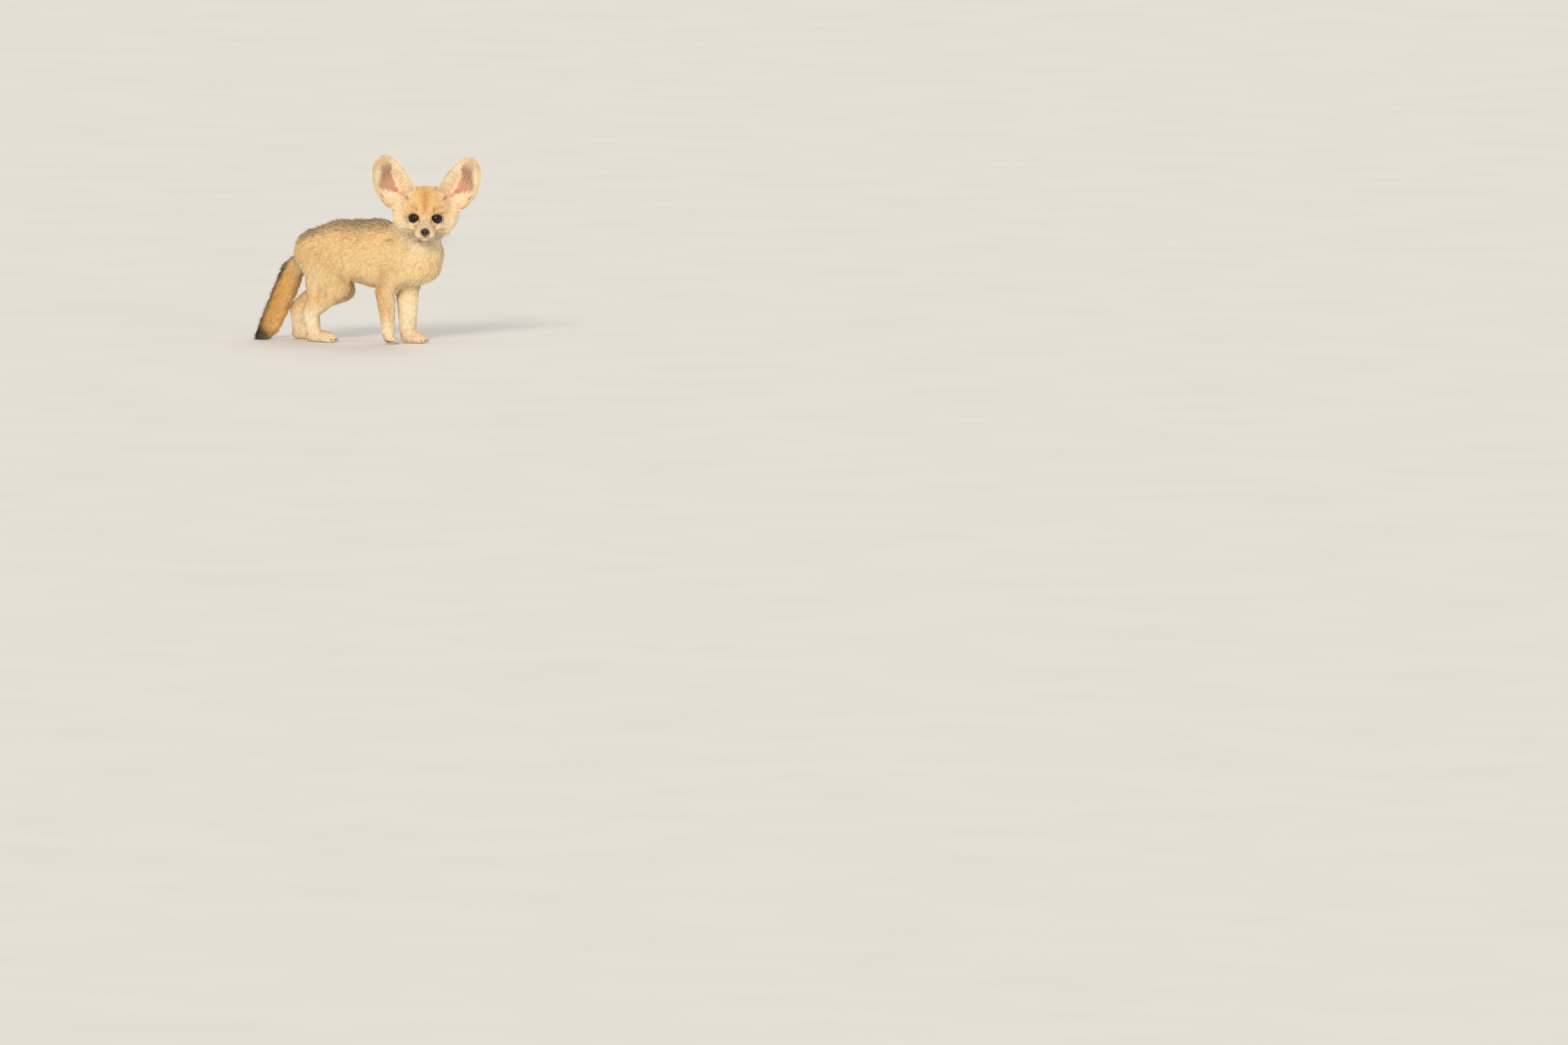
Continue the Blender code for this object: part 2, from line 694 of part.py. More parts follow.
def finish_for(kind):
    material = bpy.data.materials.new(kind)
    material.use_nodes = True
    shader = material.node_tree.nodes["Principled BSDF"]
    shader.inputs["Base Color"].default_value = (*COLOURS[kind], 1)
    shader.inputs["Roughness"].default_value = GLOSSY.get(kind, FUR_ROUGHNESS)
    shader.inputs["Metallic"].default_value = 0
    return material


def kind_of(name):
    first = name.split("_")[0]
    return "leg" if first.endswith("leg") else first


def dress(parts):
    finishes = {kind: finish_for(kind) for kind in COLOURS}
    for part in parts:
        part.data.materials.clear()
        part.data.materials.append(finishes[kind_of(part.name)])
        part.data.shade_smooth()


def stand_over_origin(parts):
    """Moves every part so that the middle of the whole animal's footprint is the origin."""
    corners = [part.matrix_world @ vertex.co for part in parts for vertex in part.data.vertices]
    low = Vector([min(c[i] for c in corners) for i in range(3)])
    high = Vector([max(c[i] for c in corners) for i in range(3)])
    shift = Vector((-(low.x + high.x) / 2, -(low.y + high.y) / 2, -low.z))
    holder = bpy.data.objects.new("fox_origin", None)
    PARTS.objects.link(holder)
    for part in parts:
        part.data.transform(Matrix.Translation(shift))
        part.parent = holder
    print("moved by", [round(value / MM, 2) for value in shift])


def main():
    start_scene()
    ground = slab("ground", (0, 0, GROUND - 30), (0, 0, 1), (400, 200), 60)
    parts = part_flesh(make_flesh(), ground)
    head, torso = parts["head"], parts["torso"]
    plain_head = grown(head)
    for side in (-1, 1):
        ear = make_ear(side)
        combine(ear, plain_head, "DIFFERENCE")
        keep_largest(ear)
        eye = make_eye(side)
        add_lids(head, eye, side)
        parts[ear.name], parts[eye.name] = ear, eye
    nose = make_nose()
    combine(head, grown(nose), "DIFFERENCE")
    cut_mouth(head)
    keep_largest(head)
    parts["nose"] = nose
    tail = make_tail()
    for name in ("torso", "hindleg_left", "hindleg_right"):
        combine(tail, grown(parts[name]), "DIFFERENCE")
    combine(tail, ground, "DIFFERENCE")
    keep_largest(tail)
    parts["tail"] = tail
    for cutter in list(CUTTERS.objects):
        bpy.data.objects.remove(cutter)
    dress(parts.values())
    stand_over_origin(parts.values())
    print(torso.name, {name: len(part.data.polygons) for name, part in parts.items()})


main()
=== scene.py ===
# %% [markdown]
# A young fennec fox stands and looks back over its right shoulder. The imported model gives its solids, in
# metres, and nothing here moves them. The animal's look is made of four layers: one smooth skin that lies a
# little inside the solids, a coat of thin flat tufts that fills the room between, the small bare pieces such
# as eyes, nose and claws, and the materials. Sizes below are in millimetres, so MM turns them into metres.

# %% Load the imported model
import json
import math

import bpy
import numpy as np
from mathutils import Matrix, Vector, kdtree
from mathutils.bvhtree import BVHTree

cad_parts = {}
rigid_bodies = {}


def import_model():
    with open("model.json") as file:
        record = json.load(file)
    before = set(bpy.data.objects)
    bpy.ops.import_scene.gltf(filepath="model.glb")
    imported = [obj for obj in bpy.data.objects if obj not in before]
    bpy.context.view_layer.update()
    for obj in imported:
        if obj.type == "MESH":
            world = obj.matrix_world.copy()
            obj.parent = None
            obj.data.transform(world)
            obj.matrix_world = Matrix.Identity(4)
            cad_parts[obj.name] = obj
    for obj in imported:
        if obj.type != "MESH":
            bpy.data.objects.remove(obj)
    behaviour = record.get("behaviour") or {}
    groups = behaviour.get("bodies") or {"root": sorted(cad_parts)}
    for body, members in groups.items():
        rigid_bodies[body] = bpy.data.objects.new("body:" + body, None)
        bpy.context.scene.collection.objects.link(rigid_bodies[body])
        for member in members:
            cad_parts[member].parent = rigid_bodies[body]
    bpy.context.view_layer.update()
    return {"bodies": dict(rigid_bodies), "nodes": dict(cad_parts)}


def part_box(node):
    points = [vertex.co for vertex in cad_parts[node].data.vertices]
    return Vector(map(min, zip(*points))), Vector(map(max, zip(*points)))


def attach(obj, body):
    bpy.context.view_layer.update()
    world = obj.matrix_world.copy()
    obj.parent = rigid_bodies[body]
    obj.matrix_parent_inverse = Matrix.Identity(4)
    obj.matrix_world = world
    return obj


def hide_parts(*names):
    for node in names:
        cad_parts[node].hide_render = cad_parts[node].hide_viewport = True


for leftover in list(bpy.data.objects):
    bpy.data.objects.remove(leftover)
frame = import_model()
MM = 0.001
BODY = next(iter(frame["bodies"]))
print("solids:", sorted(frame["nodes"]))

# %% [markdown]
# The head has its own directions: ahead along the muzzle, to the animal's left, and up. Everything on the
# face is placed in them. The solids were set over the middle of their footprint, and the two eyeballs show
# by how much, because they are plain balls whose centres are known in the head's directions.

# %% Find the head in the model
def turn(degrees, axis):
    return Matrix.Rotation(math.radians(degrees), 4, axis)


EYE_CENTRE = (19.8, 13.0, -3.9)
EYE_RADIUS = 7.7
HEAD = Matrix.Translation((88, -11, 163)) @ turn(-63, "Z") @ turn(3, "Y") @ turn(-1.5, "X")


def on_side(place, side):
    """The place on the animal's left for side 1, and its mirror image for side -1."""
    return Vector((place[0], side * place[1], place[2]))


def middle_of_box(node):
    low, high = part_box(node)
    return (low + high) / 2 / MM


SHIFT = sum((middle_of_box(name) - HEAD @ on_side(EYE_CENTRE, side)
             for name, side in (("eye_left", 1), ("eye_right", -1))), Vector()) / 2
HEAD = Matrix.Translation(SHIFT) @ HEAD
print("the solids were shifted by", [round(v, 2) for v in SHIFT])

# %% [markdown]
# The photograph was taken with a long lens from a little above the animal's chest, a quarter turn off its
# right side. The camera looks at the right fore foot's place in the picture, from far off, so that near and
# far legs keep their sizes.

# %% Camera
LENS, SENSOR, PICTURE_WIDTH = 500, 36, 2352
MM_PER_PIXEL = 0.82
FOOT_TO_MIDDLE = (594, 267.5)  # pixels right and down from the fore foot to the middle of the picture
AZIMUTH, ELEVATION = math.radians(27), math.radians(4.5)
back = Vector((math.sin(AZIMUTH) * math.cos(ELEVATION), -math.cos(AZIMUTH) * math.cos(ELEVATION),
               math.sin(ELEVATION)))
right = Vector((math.cos(AZIMUTH), math.sin(AZIMUTH), 0))
up = back.cross(right)
fore_foot = Vector((38, -16, 0)) + SHIFT
target = fore_foot + right * FOOT_TO_MIDDLE[0] * MM_PER_PIXEL - up * FOOT_TO_MIDDLE[1] * MM_PER_PIXEL
distance = PICTURE_WIDTH * MM_PER_PIXEL * LENS / SENSOR
camera_data = bpy.data.cameras.new("camera")
camera_data.lens = LENS
camera_data.sensor_width = SENSOR
camera_data.clip_end = 200
camera = bpy.data.objects.new("camera", camera_data)
camera.location = (target + back * distance) * MM
camera.rotation_euler = back.to_track_quat("Z", "Y").to_euler()
bpy.context.scene.collection.objects.link(camera)
bpy.context.scene.camera = camera
print("camera is", round(distance * MM, 2), "m away")

# %% [markdown]
# Every piece below is an array of points and faces that becomes one mesh. These helpers read a solid as
# arrays, with its loose triangles joined, and turn arrays or modifiers into a plain mesh object at the
# origin. Arrays are used, and not one operator after another, because a coat has over a million faces.

# %% Mesh helpers
def arrays_of(mesh):
    """The mesh's points in millimetres, and its triangles."""
    mesh.calc_loop_triangles()
    points = np.empty(len(mesh.vertices) * 3)
    mesh.vertices.foreach_get("co", points)
    faces = np.empty(len(mesh.loop_triangles) * 3, np.int32)
    mesh.loop_triangles.foreach_get("vertices", faces)
    return points.reshape(-1, 3) / MM, faces.reshape(-1, 3)


def solid_arrays(node):
    """A solid's points and triangles, with the points that lie on each other made one."""
    points, faces = arrays_of(frame["nodes"][node].data)
    points, index = np.unique(np.round(points, 3), axis=0, return_inverse=True)
    faces = index.reshape(-1)[faces]
    kept = (faces[:, 0] != faces[:, 1]) & (faces[:, 1] != faces[:, 2]) & (faces[:, 0] != faces[:, 2])
    return points, faces[kept]


def joined(pairs):
    points, faces, count = [], [], 0
    for some_points, some_faces in pairs:
        points.append(some_points)
        faces.append(some_faces + count)
        count += len(some_points)
    return np.concatenate(points), np.concatenate(faces)


def mesh_from(name, points, faces):
    """A mesh of triangles from arrays in millimetres."""
    mesh = bpy.data.meshes.new(name)
    mesh.vertices.add(len(points))
    mesh.vertices.foreach_set("co", (np.asarray(points) * MM).astype(np.float32).ravel())
    mesh.loops.add(len(faces) * 3)
    mesh.loops.foreach_set("vertex_index", np.asarray(faces, np.int32).ravel())
    mesh.polygons.add(len(faces))
    mesh.polygons.foreach_set("loop_start", np.arange(len(faces), dtype=np.int32) * 3)
    mesh.update(calc_edges=True)
    return mesh


def place_piece(name, mesh, material, smooth=True):
    piece = bpy.data.objects.new(name, mesh)
    bpy.context.scene.collection.objects.link(piece)
    if material:
        mesh.materials.append(material)
    if smooth:
        mesh.shade_smooth()
    return piece


def settled(thing):
    """The mesh that the thing's modifiers make of it. The thing itself is removed."""
    bpy.context.view_layer.update()
    graph = bpy.context.evaluated_depsgraph_get()
    mesh = bpy.data.meshes.new_from_object(thing.evaluated_get(graph))
    bpy.data.objects.remove(thing)
    return mesh


def set_markings_and_shade(mesh, colours):
    """Gives each point its colour, with any painted shade, under the name that the finishes read."""
    opaque = np.concatenate([colours, np.ones((len(colours), 1))], 1)
    markings_and_shade = mesh.attributes.new("markings_and_shade", "FLOAT_COLOR", "POINT")
    markings_and_shade.data.foreach_set("color", opaque.astype(np.float32).ravel())


def remeshed(points, faces, voxel, smoothing, swell_by=0.0):
    """One closed surface round overlapping closed solids."""
    thing = place_piece("melting", mesh_from("melting", points, faces), None)
    if swell_by:
        swell = thing.modifiers.new("swell", "DISPLACE")
        swell.strength = swell_by * MM
        swell.mid_level = 0
    remesh = thing.modifiers.new("remesh", "REMESH")
    remesh.mode = "VOXEL"
    remesh.voxel_size = voxel * MM
    smooth = thing.modifiers.new("smooth", "SMOOTH")
    smooth.iterations = smoothing
    smooth.factor = 0.5
    return arrays_of(settled(thing))


def ring_faces(rings, sides):
    """The triangles between rings of points that are laid one after another."""
    faces = []
    for ring in range(rings - 1):
        for k in range(sides):
            a, b = ring * sides + k, ring * sides + (k + 1) % sides
            faces += [(a, a + sides, b + sides), (a, b + sides, b)]
    return faces


def closed_faces(rings, sides):
    """The rings' triangles, and fans that close both ends to the two points after the rings."""
    faces = ring_faces(rings, sides)
    first, last = rings * sides, (rings - 1) * sides
    for k in range(sides):
        n = (k + 1) % sides
        faces += [(first, k, n), (first + 1, last + n, last + k)]
    return faces


def unit(vectors):
    return vectors / np.maximum(1e-9, np.linalg.norm(vectors, axis=-1, keepdims=True))


def point_normals(points, faces):
    corners = points[faces]
    across = np.cross(corners[:, 1] - corners[:, 0], corners[:, 2] - corners[:, 0])
    normals = np.zeros_like(points)
    for corner in range(3):
        np.add.at(normals, faces[:, corner], across)
    return unit(normals)


def ramp(value, low, high):
    """0 below low, 1 above high, and a soft step between."""
    share = np.clip((value - low) / (high - low), 0, 1)
    return share * share * (3 - 2 * share)


def spot(values, centre, size):
    """1 at the centre, fading to 0 over about twice the size."""
    return np.exp(-((values - centre) / size) ** 2)


print("helpers ready")

# %% [markdown]
# A tuft takes its length, its lie and its colour from the part of the body that it grows on, and those parts
# flow into each other. So each point of the skin gets a share of every part: the nearer a part's solid, the
# larger its share.

# %% Shares of the body's parts
FLESH = ("torso", "neck", "head", "foreleg_left", "foreleg_right", "hindleg_left", "hindleg_right")
KINDS = ("torso", "neck", "head", "fore", "hind", "tail")
SHARE_REACH = 5.0  # how far one part's share reaches into the next
SOLIDS = {name: solid_arrays(name) for name in FLESH + ("tail",)}
GROUPS = {"torso": ["torso"], "neck": ["neck"], "head": ["head"], "fore": ["foreleg_left", "foreleg_right"],
          "hind": ["hindleg_left", "hindleg_right"], "tail": ["tail"]}
TREES = {}
for kind, names in GROUPS.items():
    kind_points, kind_faces = joined([SOLIDS[name] for name in names])
    TREES[kind] = BVHTree.FromPolygons(kind_points.tolist(), kind_faces.tolist())


def shares_at(points):
    """For each point, the share of each kind of part, adding up to 1."""
    away = np.array([[TREES[kind].find_nearest(point)[3] for kind in KINDS] for point in points.tolist()])
    weight = np.exp(-(away - away.min(1, keepdims=True)) / SHARE_REACH)
    weight /= weight.sum(1, keepdims=True)
    return {kind: weight[:, k] for k, kind in enumerate(KINDS)}


print({name: len(faces) for name, (points, faces) in SOLIDS.items()})

# %% [markdown]
# The coat is long on the body, neck and cheeks and almost nothing on the muzzle and toes. Its length is given
# as one rule for any point, because the skin is laid inside the solids by the coat's depth, and the same
# lengths are used again when the tufts grow.

# %% Length of the coat
BODY_HAIR, NECK_HAIR, BRUSH_HAIR = 10.0, 10.5, 13.0
DEPTH_SHARE = 0.32  # the skin lies this share of the hair's length inside the solids
TO_HEAD = np.array(HEAD.inverted())


def in_head(points):
    """The points in the head's own directions: ahead, left and up."""
    return points @ TO_HEAD[:3, :3].T + TO_HEAD[:3, 3]


def coat_length(points, shares):
    """The length of the hair at each point."""
    ahead, left, high = in_head(points).T
    side = np.abs(left)
    face = ramp(ahead, 8, 24) * ramp(-side, -24, -12)
    muzzle = ramp(ahead, 24, 34)
    cheek = ramp(side, 11, 22) * ramp(-high, -6, 6) * ramp(-ahead, -26, -8)
    cheek *= 1 - 0.55 * ramp(-high, 8, 20)
    throat = ramp(-high, 12, 24) * ramp(-ahead, -26, -8)
    head = 5.0 - 2.4 * face - 1.0 * muzzle + 5.0 * np.maximum(cheek, 0.8 * throat) * (1 - muzzle)
    low = ramp(-points[:, 2], -62, -24)
    paw = ramp(-points[:, 2], -20, -8)
    fore = 6.5 - 2.4 * low - 1.4 * paw
    hind = 8.0 - 3.8 * low - 1.5 * paw
    belly = ramp(-points[:, 2], -90, -70)
    chest = ramp(points[:, 0], 42, 74) * ramp(-points[:, 2], -138, -108)
    torso = BODY_HAIR + 1.5 * belly + 3.0 * chest
    return (shares["torso"] * torso + shares["neck"] * NECK_HAIR + shares["head"] * head
            + shares["fore"] * fore + shares["hind"] * hind + shares["tail"] * BRUSH_HAIR)


print("hair on body, neck and tail, in mm:", BODY_HAIR, NECK_HAIR, BRUSH_HAIR)

# %% [markdown]
# One skin stands for all the flesh, so that no seam shows where the solids were parted. The solids are
# swollen until their gaps close, melted together with voxels, and sunk by the coat's depth. The cheeks are
# sunk a little more, so that the face narrows to the jaw. The tail's bone and muscle are thin, so a chain of
# rods along its line joins the skin there, and its brush is all coat.

# %% The skin's shape
TAIL_LINE = [((-86, 0, 101), 13.5), ((-100, 0, 88), 14.6), ((-108, -2.5, 70), 14.8),
             ((-114.5, -6.5, 52), 14.2), ((-121, -10, 36), 13.4), ((-127.5, -13, 20), 11.5),
             ((-135, -15.5, 7), 6.5)]
TAIL_CORE = 0.6  # the share of the tail's thickness that is bone and muscle
SKIN_VOXEL = 1.25
GAP_CLOSING = 0.4
CHEEK_TAPER = 4.5
ROD_SIDES = 20
tail_stops = np.array([place for place, radius in TAIL_LINE], float) + np.array(SHIFT)
tail_radii = np.array([radius for place, radius in TAIL_LINE])


def rod(start, end, start_radius, end_radius):
    """A rod with round ends, as points and triangles."""
    along = unit(end - start)
    across = unit(np.cross(along, (0, 1, 0)))
    round_it = np.cross(along, across)
    length = np.linalg.norm(end - start)
    stops = []
    for angle in map(math.radians, np.linspace(-80, -10, 5)):
        stops.append((start_radius * math.sin(angle), start_radius * math.cos(angle)))
    for angle in map(math.radians, np.linspace(10, 80, 5)):
        stops.append((length + end_radius * math.sin(angle), end_radius * math.cos(angle)))
    angles = np.arange(ROD_SIDES) * 2 * math.pi / ROD_SIDES
    points = [start + along * far + wide * (math.cos(a) * across + math.sin(a) * round_it)
              for far, wide in stops for a in angles]
    points += [start - along * start_radius, end + along * end_radius]
    return np.array(points), np.array(closed_faces(len(stops), ROD_SIDES))[:, ::-1]


flesh_points, flesh_faces = remeshed(*joined([SOLIDS[name] for name in FLESH]), SKIN_VOXEL, 4, GAP_CLOSING)
flesh_depth = DEPTH_SHARE * coat_length(flesh_points, shares_at(flesh_points))
ahead, left, high = in_head(flesh_points).T
flesh_depth += CHEEK_TAPER * ramp(np.abs(left), 15, 25) * ramp(-high, 6, 19) * ramp(ahead, -22, -4)
flesh_points -= point_normals(flesh_points, flesh_faces) * flesh_depth[:, None]
tail_rods = [rod(tail_stops[k], tail_stops[k + 1], tail_radii[k] * TAIL_CORE, tail_radii[k + 1] * TAIL_CORE)
             for k in range(len(tail_stops) - 1)]
skin_points, skin_faces = remeshed(*joined([(flesh_points, flesh_faces)] + tail_rods), SKIN_VOXEL, 5)
print("skin of", len(skin_faces), "triangles")

# %% [markdown]
# Each ear is a thin open cup, bowed across and broadest a third of the way up. Its rule is the one the solid
# follows, with many more rows: two elliptical edges, a depth that grows from the tip down, and a thin wall.
# The place on the cup, from its inner edge at -1 to its outer edge at 1 and from the tip at 0 down to the
# foot, is kept for each point, because the bare band, the pale rim and the long fringe follow it.

# %% The ears' shape
EAR_ROOT, EAR_TIP = (1, 27.5, 14), (-11, 55, 67)
EAR_OUTER, EAR_INNER = (26.5, 37, 34), (20.5, 46, 40)  # widest, how far from the tip, and the reach below
EAR_DEPTH, EAR_TURN, EAR_WALL = 18, 14, 0.9
EAR_ROWS, EAR_COLUMNS = 46, 46
INNER_CORNER = 19  # how far the foot of the inner edge is brought forward over the brow
TURN_HEAD = np.array(HEAD.to_3x3())


def ear_axes(side):
    """The ear's tip, its length and its own directions, in the head's: to the tip, outwards and ahead."""
    root, tip = on_side(EAR_ROOT, side), on_side(EAR_TIP, side)
    axis = (tip - root).normalized()
    outward = Vector((math.sin(math.radians(EAR_TURN)), side * math.cos(math.radians(EAR_TURN)), 0))
    across = (outward - axis * outward.dot(axis)).normalized()
    facing = across.cross(axis) * side
    return np.array(tip), (tip - root).length, np.array(axis), np.array(across), np.array(facing)


def half_width(outwards, from_tip):
    """Half the cup's width, which follows one ellipse on its outer side and one on its inner side."""
    halves = []
    for widest, at, below in (EAR_OUTER, EAR_INNER):
        reach = np.where(from_tip < at, at, below)
        halves.append(widest * np.sqrt(np.maximum(0.01, 1 - ((from_tip - at) / reach) ** 2)))
    return np.where(outwards, *halves)


def cup_depth(share):
    """How deep the cup is at this share of its length from the tip."""
    depth = EAR_DEPTH * (0.05 + 0.95 * np.sin(np.clip(share * 1.05, 0, 1) * math.pi / 2))
    return depth * (1 - 0.6 * ramp(share, 0.72, 1.1))


def ear_cup(side):
    """The cup as one closed mesh, with each point's s, share and face, which is 1 within and 0 behind."""
    tip, length, axis, across, facing = ear_axes(side)
    share, s = np.meshgrid(1.2 * (np.arange(EAR_ROWS + 1) / EAR_ROWS) ** 1.35,
                           np.linspace(-1, 1, EAR_COLUMNS + 1), indexing="ij")
    from_tip = length * share
    half = half_width(s > 0, from_tip)
    back_by = cup_depth(share) * np.maximum(0, np.cos(s * math.pi / 2)) ** 1.2
    back_by += 9 * np.maximum(0, share - 0.85) * (1 + s) - 2.5 * np.maximum(0, 1 - share) * (1 - np.abs(s))
    middle = (tip - axis * from_tip[..., None] + across * (half * np.sin(s * math.pi / 2))[..., None]
              - facing * back_by[..., None])
    brought = INNER_CORNER * ramp(share, 0.5, 0.96) * ramp(-s, 0.3, 1.0)
    middle = middle + np.array([1.0, -0.05 * side, -0.05]) * brought[..., None]
    middle = middle @ TURN_HEAD.T + np.array(HEAD.translation)
    down = np.gradient(middle, axis=0)
    over = np.gradient(middle, axis=1)
    normal = unit(np.cross(over, down)) * side
    normal *= np.sign((normal @ (TURN_HEAD @ facing)).mean())
    wall = EAR_WALL * (0.45 + 0.55 * np.minimum(1, 2.5 * (1 - np.abs(s))))[..., None]
    count = (EAR_ROWS + 1) * (EAR_COLUMNS + 1)
    points = np.concatenate([(middle + normal * wall / 2).reshape(-1, 3),
                             (middle - normal * wall / 2).reshape(-1, 3)])
    index = np.arange(count).reshape(EAR_ROWS + 1, EAR_COLUMNS + 1)
    a, b, c, d = index[:-1, :-1], index[:-1, 1:], index[1:, 1:], index[1:, :-1]
    front = np.concatenate([np.stack([a, d, c], -1).reshape(-1, 3), np.stack([a, c, b], -1).reshape(-1, 3)])
    behind = front[:, ::-1] + count
    border = np.concatenate([index[0, :], index[1:, -1], index[-1, -2::-1], index[-2:0:-1, 0]])
    follow = np.roll(border, -1)
    rim = np.concatenate([np.stack([border, border + count, follow + count], -1),
                          np.stack([border, follow + count, follow], -1)])
    faces = np.concatenate([front, behind, rim])
    corners = points[front]
    if (np.cross(corners[:, 1] - corners[:, 0], corners[:, 2] - corners[:, 0])
            * normal.reshape(-1, 3)[front[:, 0]]).sum() < 0:
        faces = faces[:, ::-1]
    within = np.repeat([1.0, 0.0], count)
    return points, faces, np.tile(s.ravel(), 2), np.tile(share.ravel(), 2), within


def hollow_for_ears(places):
    """Sinks the skull's skin behind each cup, so that the bowl stays open down to its foot."""
    local = in_head(places)
    sunk = np.zeros(len(places))
    for side in (1, -1):
        tip, length, axis, across, facing = ear_axes(side)
        offset = local - tip
        share = -(offset @ axis) / length
        sideways = offset @ across
        half = half_width(sideways > 0, share * length)
        s = np.arcsin(np.clip(sideways / half, -1, 1)) * 2 / math.pi
        floor_at = -cup_depth(share) * np.maximum(0, np.cos(s * math.pi / 2)) ** 1.2
        floor_at -= 9 * np.maximum(0, share - 0.85) * (1 + s)
        floor_at += 0.9 * INNER_CORNER * ramp(share, 0.5, 0.96) * ramp(-s, 0.3, 1.0)
        over = np.maximum(0, offset @ facing - floor_at + 1.6)
        open_there = ramp(share, 0.3, 0.4) * ramp(-share, -1.0, -0.84) * ramp(-np.abs(s), -0.98, -0.86)
        local -= facing * (over * open_there)[:, None]
        sunk = np.maximum(sunk, over * open_there)
    return local @ TURN_HEAD.T + np.array(HEAD.translation), sunk


EARS = {side: ear_cup(side) for side in (1, -1)}
skin_points, sunk_for_ear = hollow_for_ears(skin_points)
flesh_count = len(skin_points)
print("hollowed", int((sunk_for_ear > 1).sum()), "points of the skull behind the ears")

# %% [markdown]
# The lids are a soft ring round each eye. From within, the ring rises from the eyeball to a dark, moist rim,
# then falls away under the short fur of the face. Its opening is an almond, a little pointed and drawn down
# at the corner towards the nose. The rings are part of the skin, so that fur can grow on them too.

# %% Lids
EYE_OPENING = (6.2, 4.7)
EYE_FRAMES = {side: HEAD @ Matrix.Translation(on_side(EYE_CENTRE, side)) @ turn(side * 17, "Z")
              @ turn(-side * 10, "X") for side in (1, -1)}
LID_RINGS = [  # how far out from the opening's edge, the radius over the eyeball's middle, and how dark
    (0.94, 0.04, 1.0), (0.99, 0.30, 1.0), (1.05, 0.42, 0.95), (1.13, 0.48, 0.7), (1.26, 0.52, 0.3),
    (1.44, 0.52, 0.05), (1.64, 0.36, 0.0), (1.84, 0.0, 0.0), (2.05, -0.9, 0.0)]
LID_STEPS = 72


def moved(places, matrix):
    return places @ np.array(matrix.to_3x3()).T + np.array(matrix.translation)


def lid_ring(side):
    """The ring's points and triangles, with how far out each point is and how dark."""
    angles = np.arange(LID_STEPS) * 2 * math.pi / LID_STEPS
    outer_way, rise = np.cos(angles), np.sin(angles)
    corner = np.maximum(0, -outer_way) ** 6
    left_edge = EYE_OPENING[0] * outer_way - 1.5 * corner
    high_edge = EYE_OPENING[1] * rise * (1 - 0.14 * outer_way ** 2) - 0.9 * corner
    local, out, dark = [], [], []
    for wider, over_ball, darkness in LID_RINGS:
        radius = EYE_RADIUS + over_ball
        left_at, high_at = left_edge * wider * side, high_edge * wider
        scale = np.minimum(1, radius * 0.985 / np.maximum(np.hypot(left_at, high_at), 1e-6))
        left_at, high_at = left_at * scale, high_at * scale
        local.append(np.stack([np.sqrt(np.maximum(0.1, radius ** 2 - left_at ** 2 - high_at ** 2)), left_at,
                               high_at], 1))
        out.append(np.full(LID_STEPS, wider))
        dark.append(np.full(LID_STEPS, darkness))
    local, faces = np.concatenate(local), np.array(ring_faces(len(LID_RINGS), LID_STEPS))
    if (local * point_normals(local, faces)).sum() < 0:
        faces = faces[:, ::-1]
    return moved(local, EYE_FRAMES[side]), faces, np.concatenate(out), np.concatenate(dark)


LIDS = {side: lid_ring(side) for side in (1, -1)}
lid_count = 2 * len(LIDS[1][0])
print("lids with", LID_STEPS, "steps round each eye")

# %% [markdown]
# Skin, ears and lids are now laid end to end in one pair of arrays. What is known only for some points, such
# as the place on an ear, is nought for the rest.

# %% Join skin, ears and lids
def for_all(on_ears, on_lids=0.0):
    """Values for every point: nought on the flesh, then the ears', then the lids'."""
    on_lids = np.zeros(lid_count) if np.isscalar(on_lids) else on_lids
    return np.concatenate([np.zeros(flesh_count), on_ears, on_lids])


ear_s, ear_share, ear_within = (for_all(np.concatenate([EARS[side][k] for side in (1, -1)]))
                                for k in (2, 3, 4))
ear_side = for_all(np.concatenate([np.full(len(EARS[side][0]), side) for side in (1, -1)]))
no_ear = np.zeros(sum(len(EARS[side][0]) for side in (1, -1)))
lid_out, lid_dark = (for_all(no_ear, np.concatenate([LIDS[side][k] for side in (1, -1)])) for k in (2, 3))
on_ear, on_lid = ear_side != 0, lid_out > 0
points, faces = joined([(skin_points, skin_faces)] + [EARS[side][:2] for side in (1, -1)]
                       + [LIDS[side][:2] for side in (1, -1)])
print("skin, ears and lids have", len(faces), "triangles")

# %% [markdown]
# Fur needs a direction at each point before it can grow. Hair runs back from the nose, down the neck, along
# the trunk, down the legs, out over the toes and along the tail. These simple directions are mixed by the
# shares of the parts, laid flat on the skin and ruffled a little by slow waves, as no coat lies quite even.
# On an ear it runs up to the tip, and the long fringe lies across the cup from its inner edge.

# %% Lie of the coat
def ripple(places, size, seed):
    """Slow waves over space between -1 and 1, the same on every run."""
    draw = np.random.default_rng(seed)
    total = np.zeros(len(places))
    for k in range(5):
        heading = unit(draw.normal(size=3))
        total += np.sin(places @ heading * 2 * math.pi / (size * draw.uniform(0.7, 1.5)) + draw.uniform(0, 7))
    return total / 3.2


def along_tail(places):
    """How far along the tail each place is, the tail's direction there, and the way out from its middle."""
    far, best = np.zeros(len(places)), np.full(len(places), 1e9)
    out = np.zeros_like(places)
    middles, ways, passed = [], [], 0.0
    for start, end in zip(tail_stops, tail_stops[1:]):
        length = np.linalg.norm(end - start)
        along = (end - start) / length
        share = np.clip((places - start) @ along, 0, length)
        offset = places - (start + share[:, None] * along)
        near = np.linalg.norm(offset, axis=1) < best
        best[near] = np.linalg.norm(offset[near], axis=1)
        far[near], out[near] = passed + share[near], offset[near]
        middles.append(passed + length / 2)
        ways.append(along)
        passed += length
    heading = np.stack([np.interp(far, middles, np.array(ways)[:, axis]) for axis in range(3)], 1)
    return far, unit(heading), out


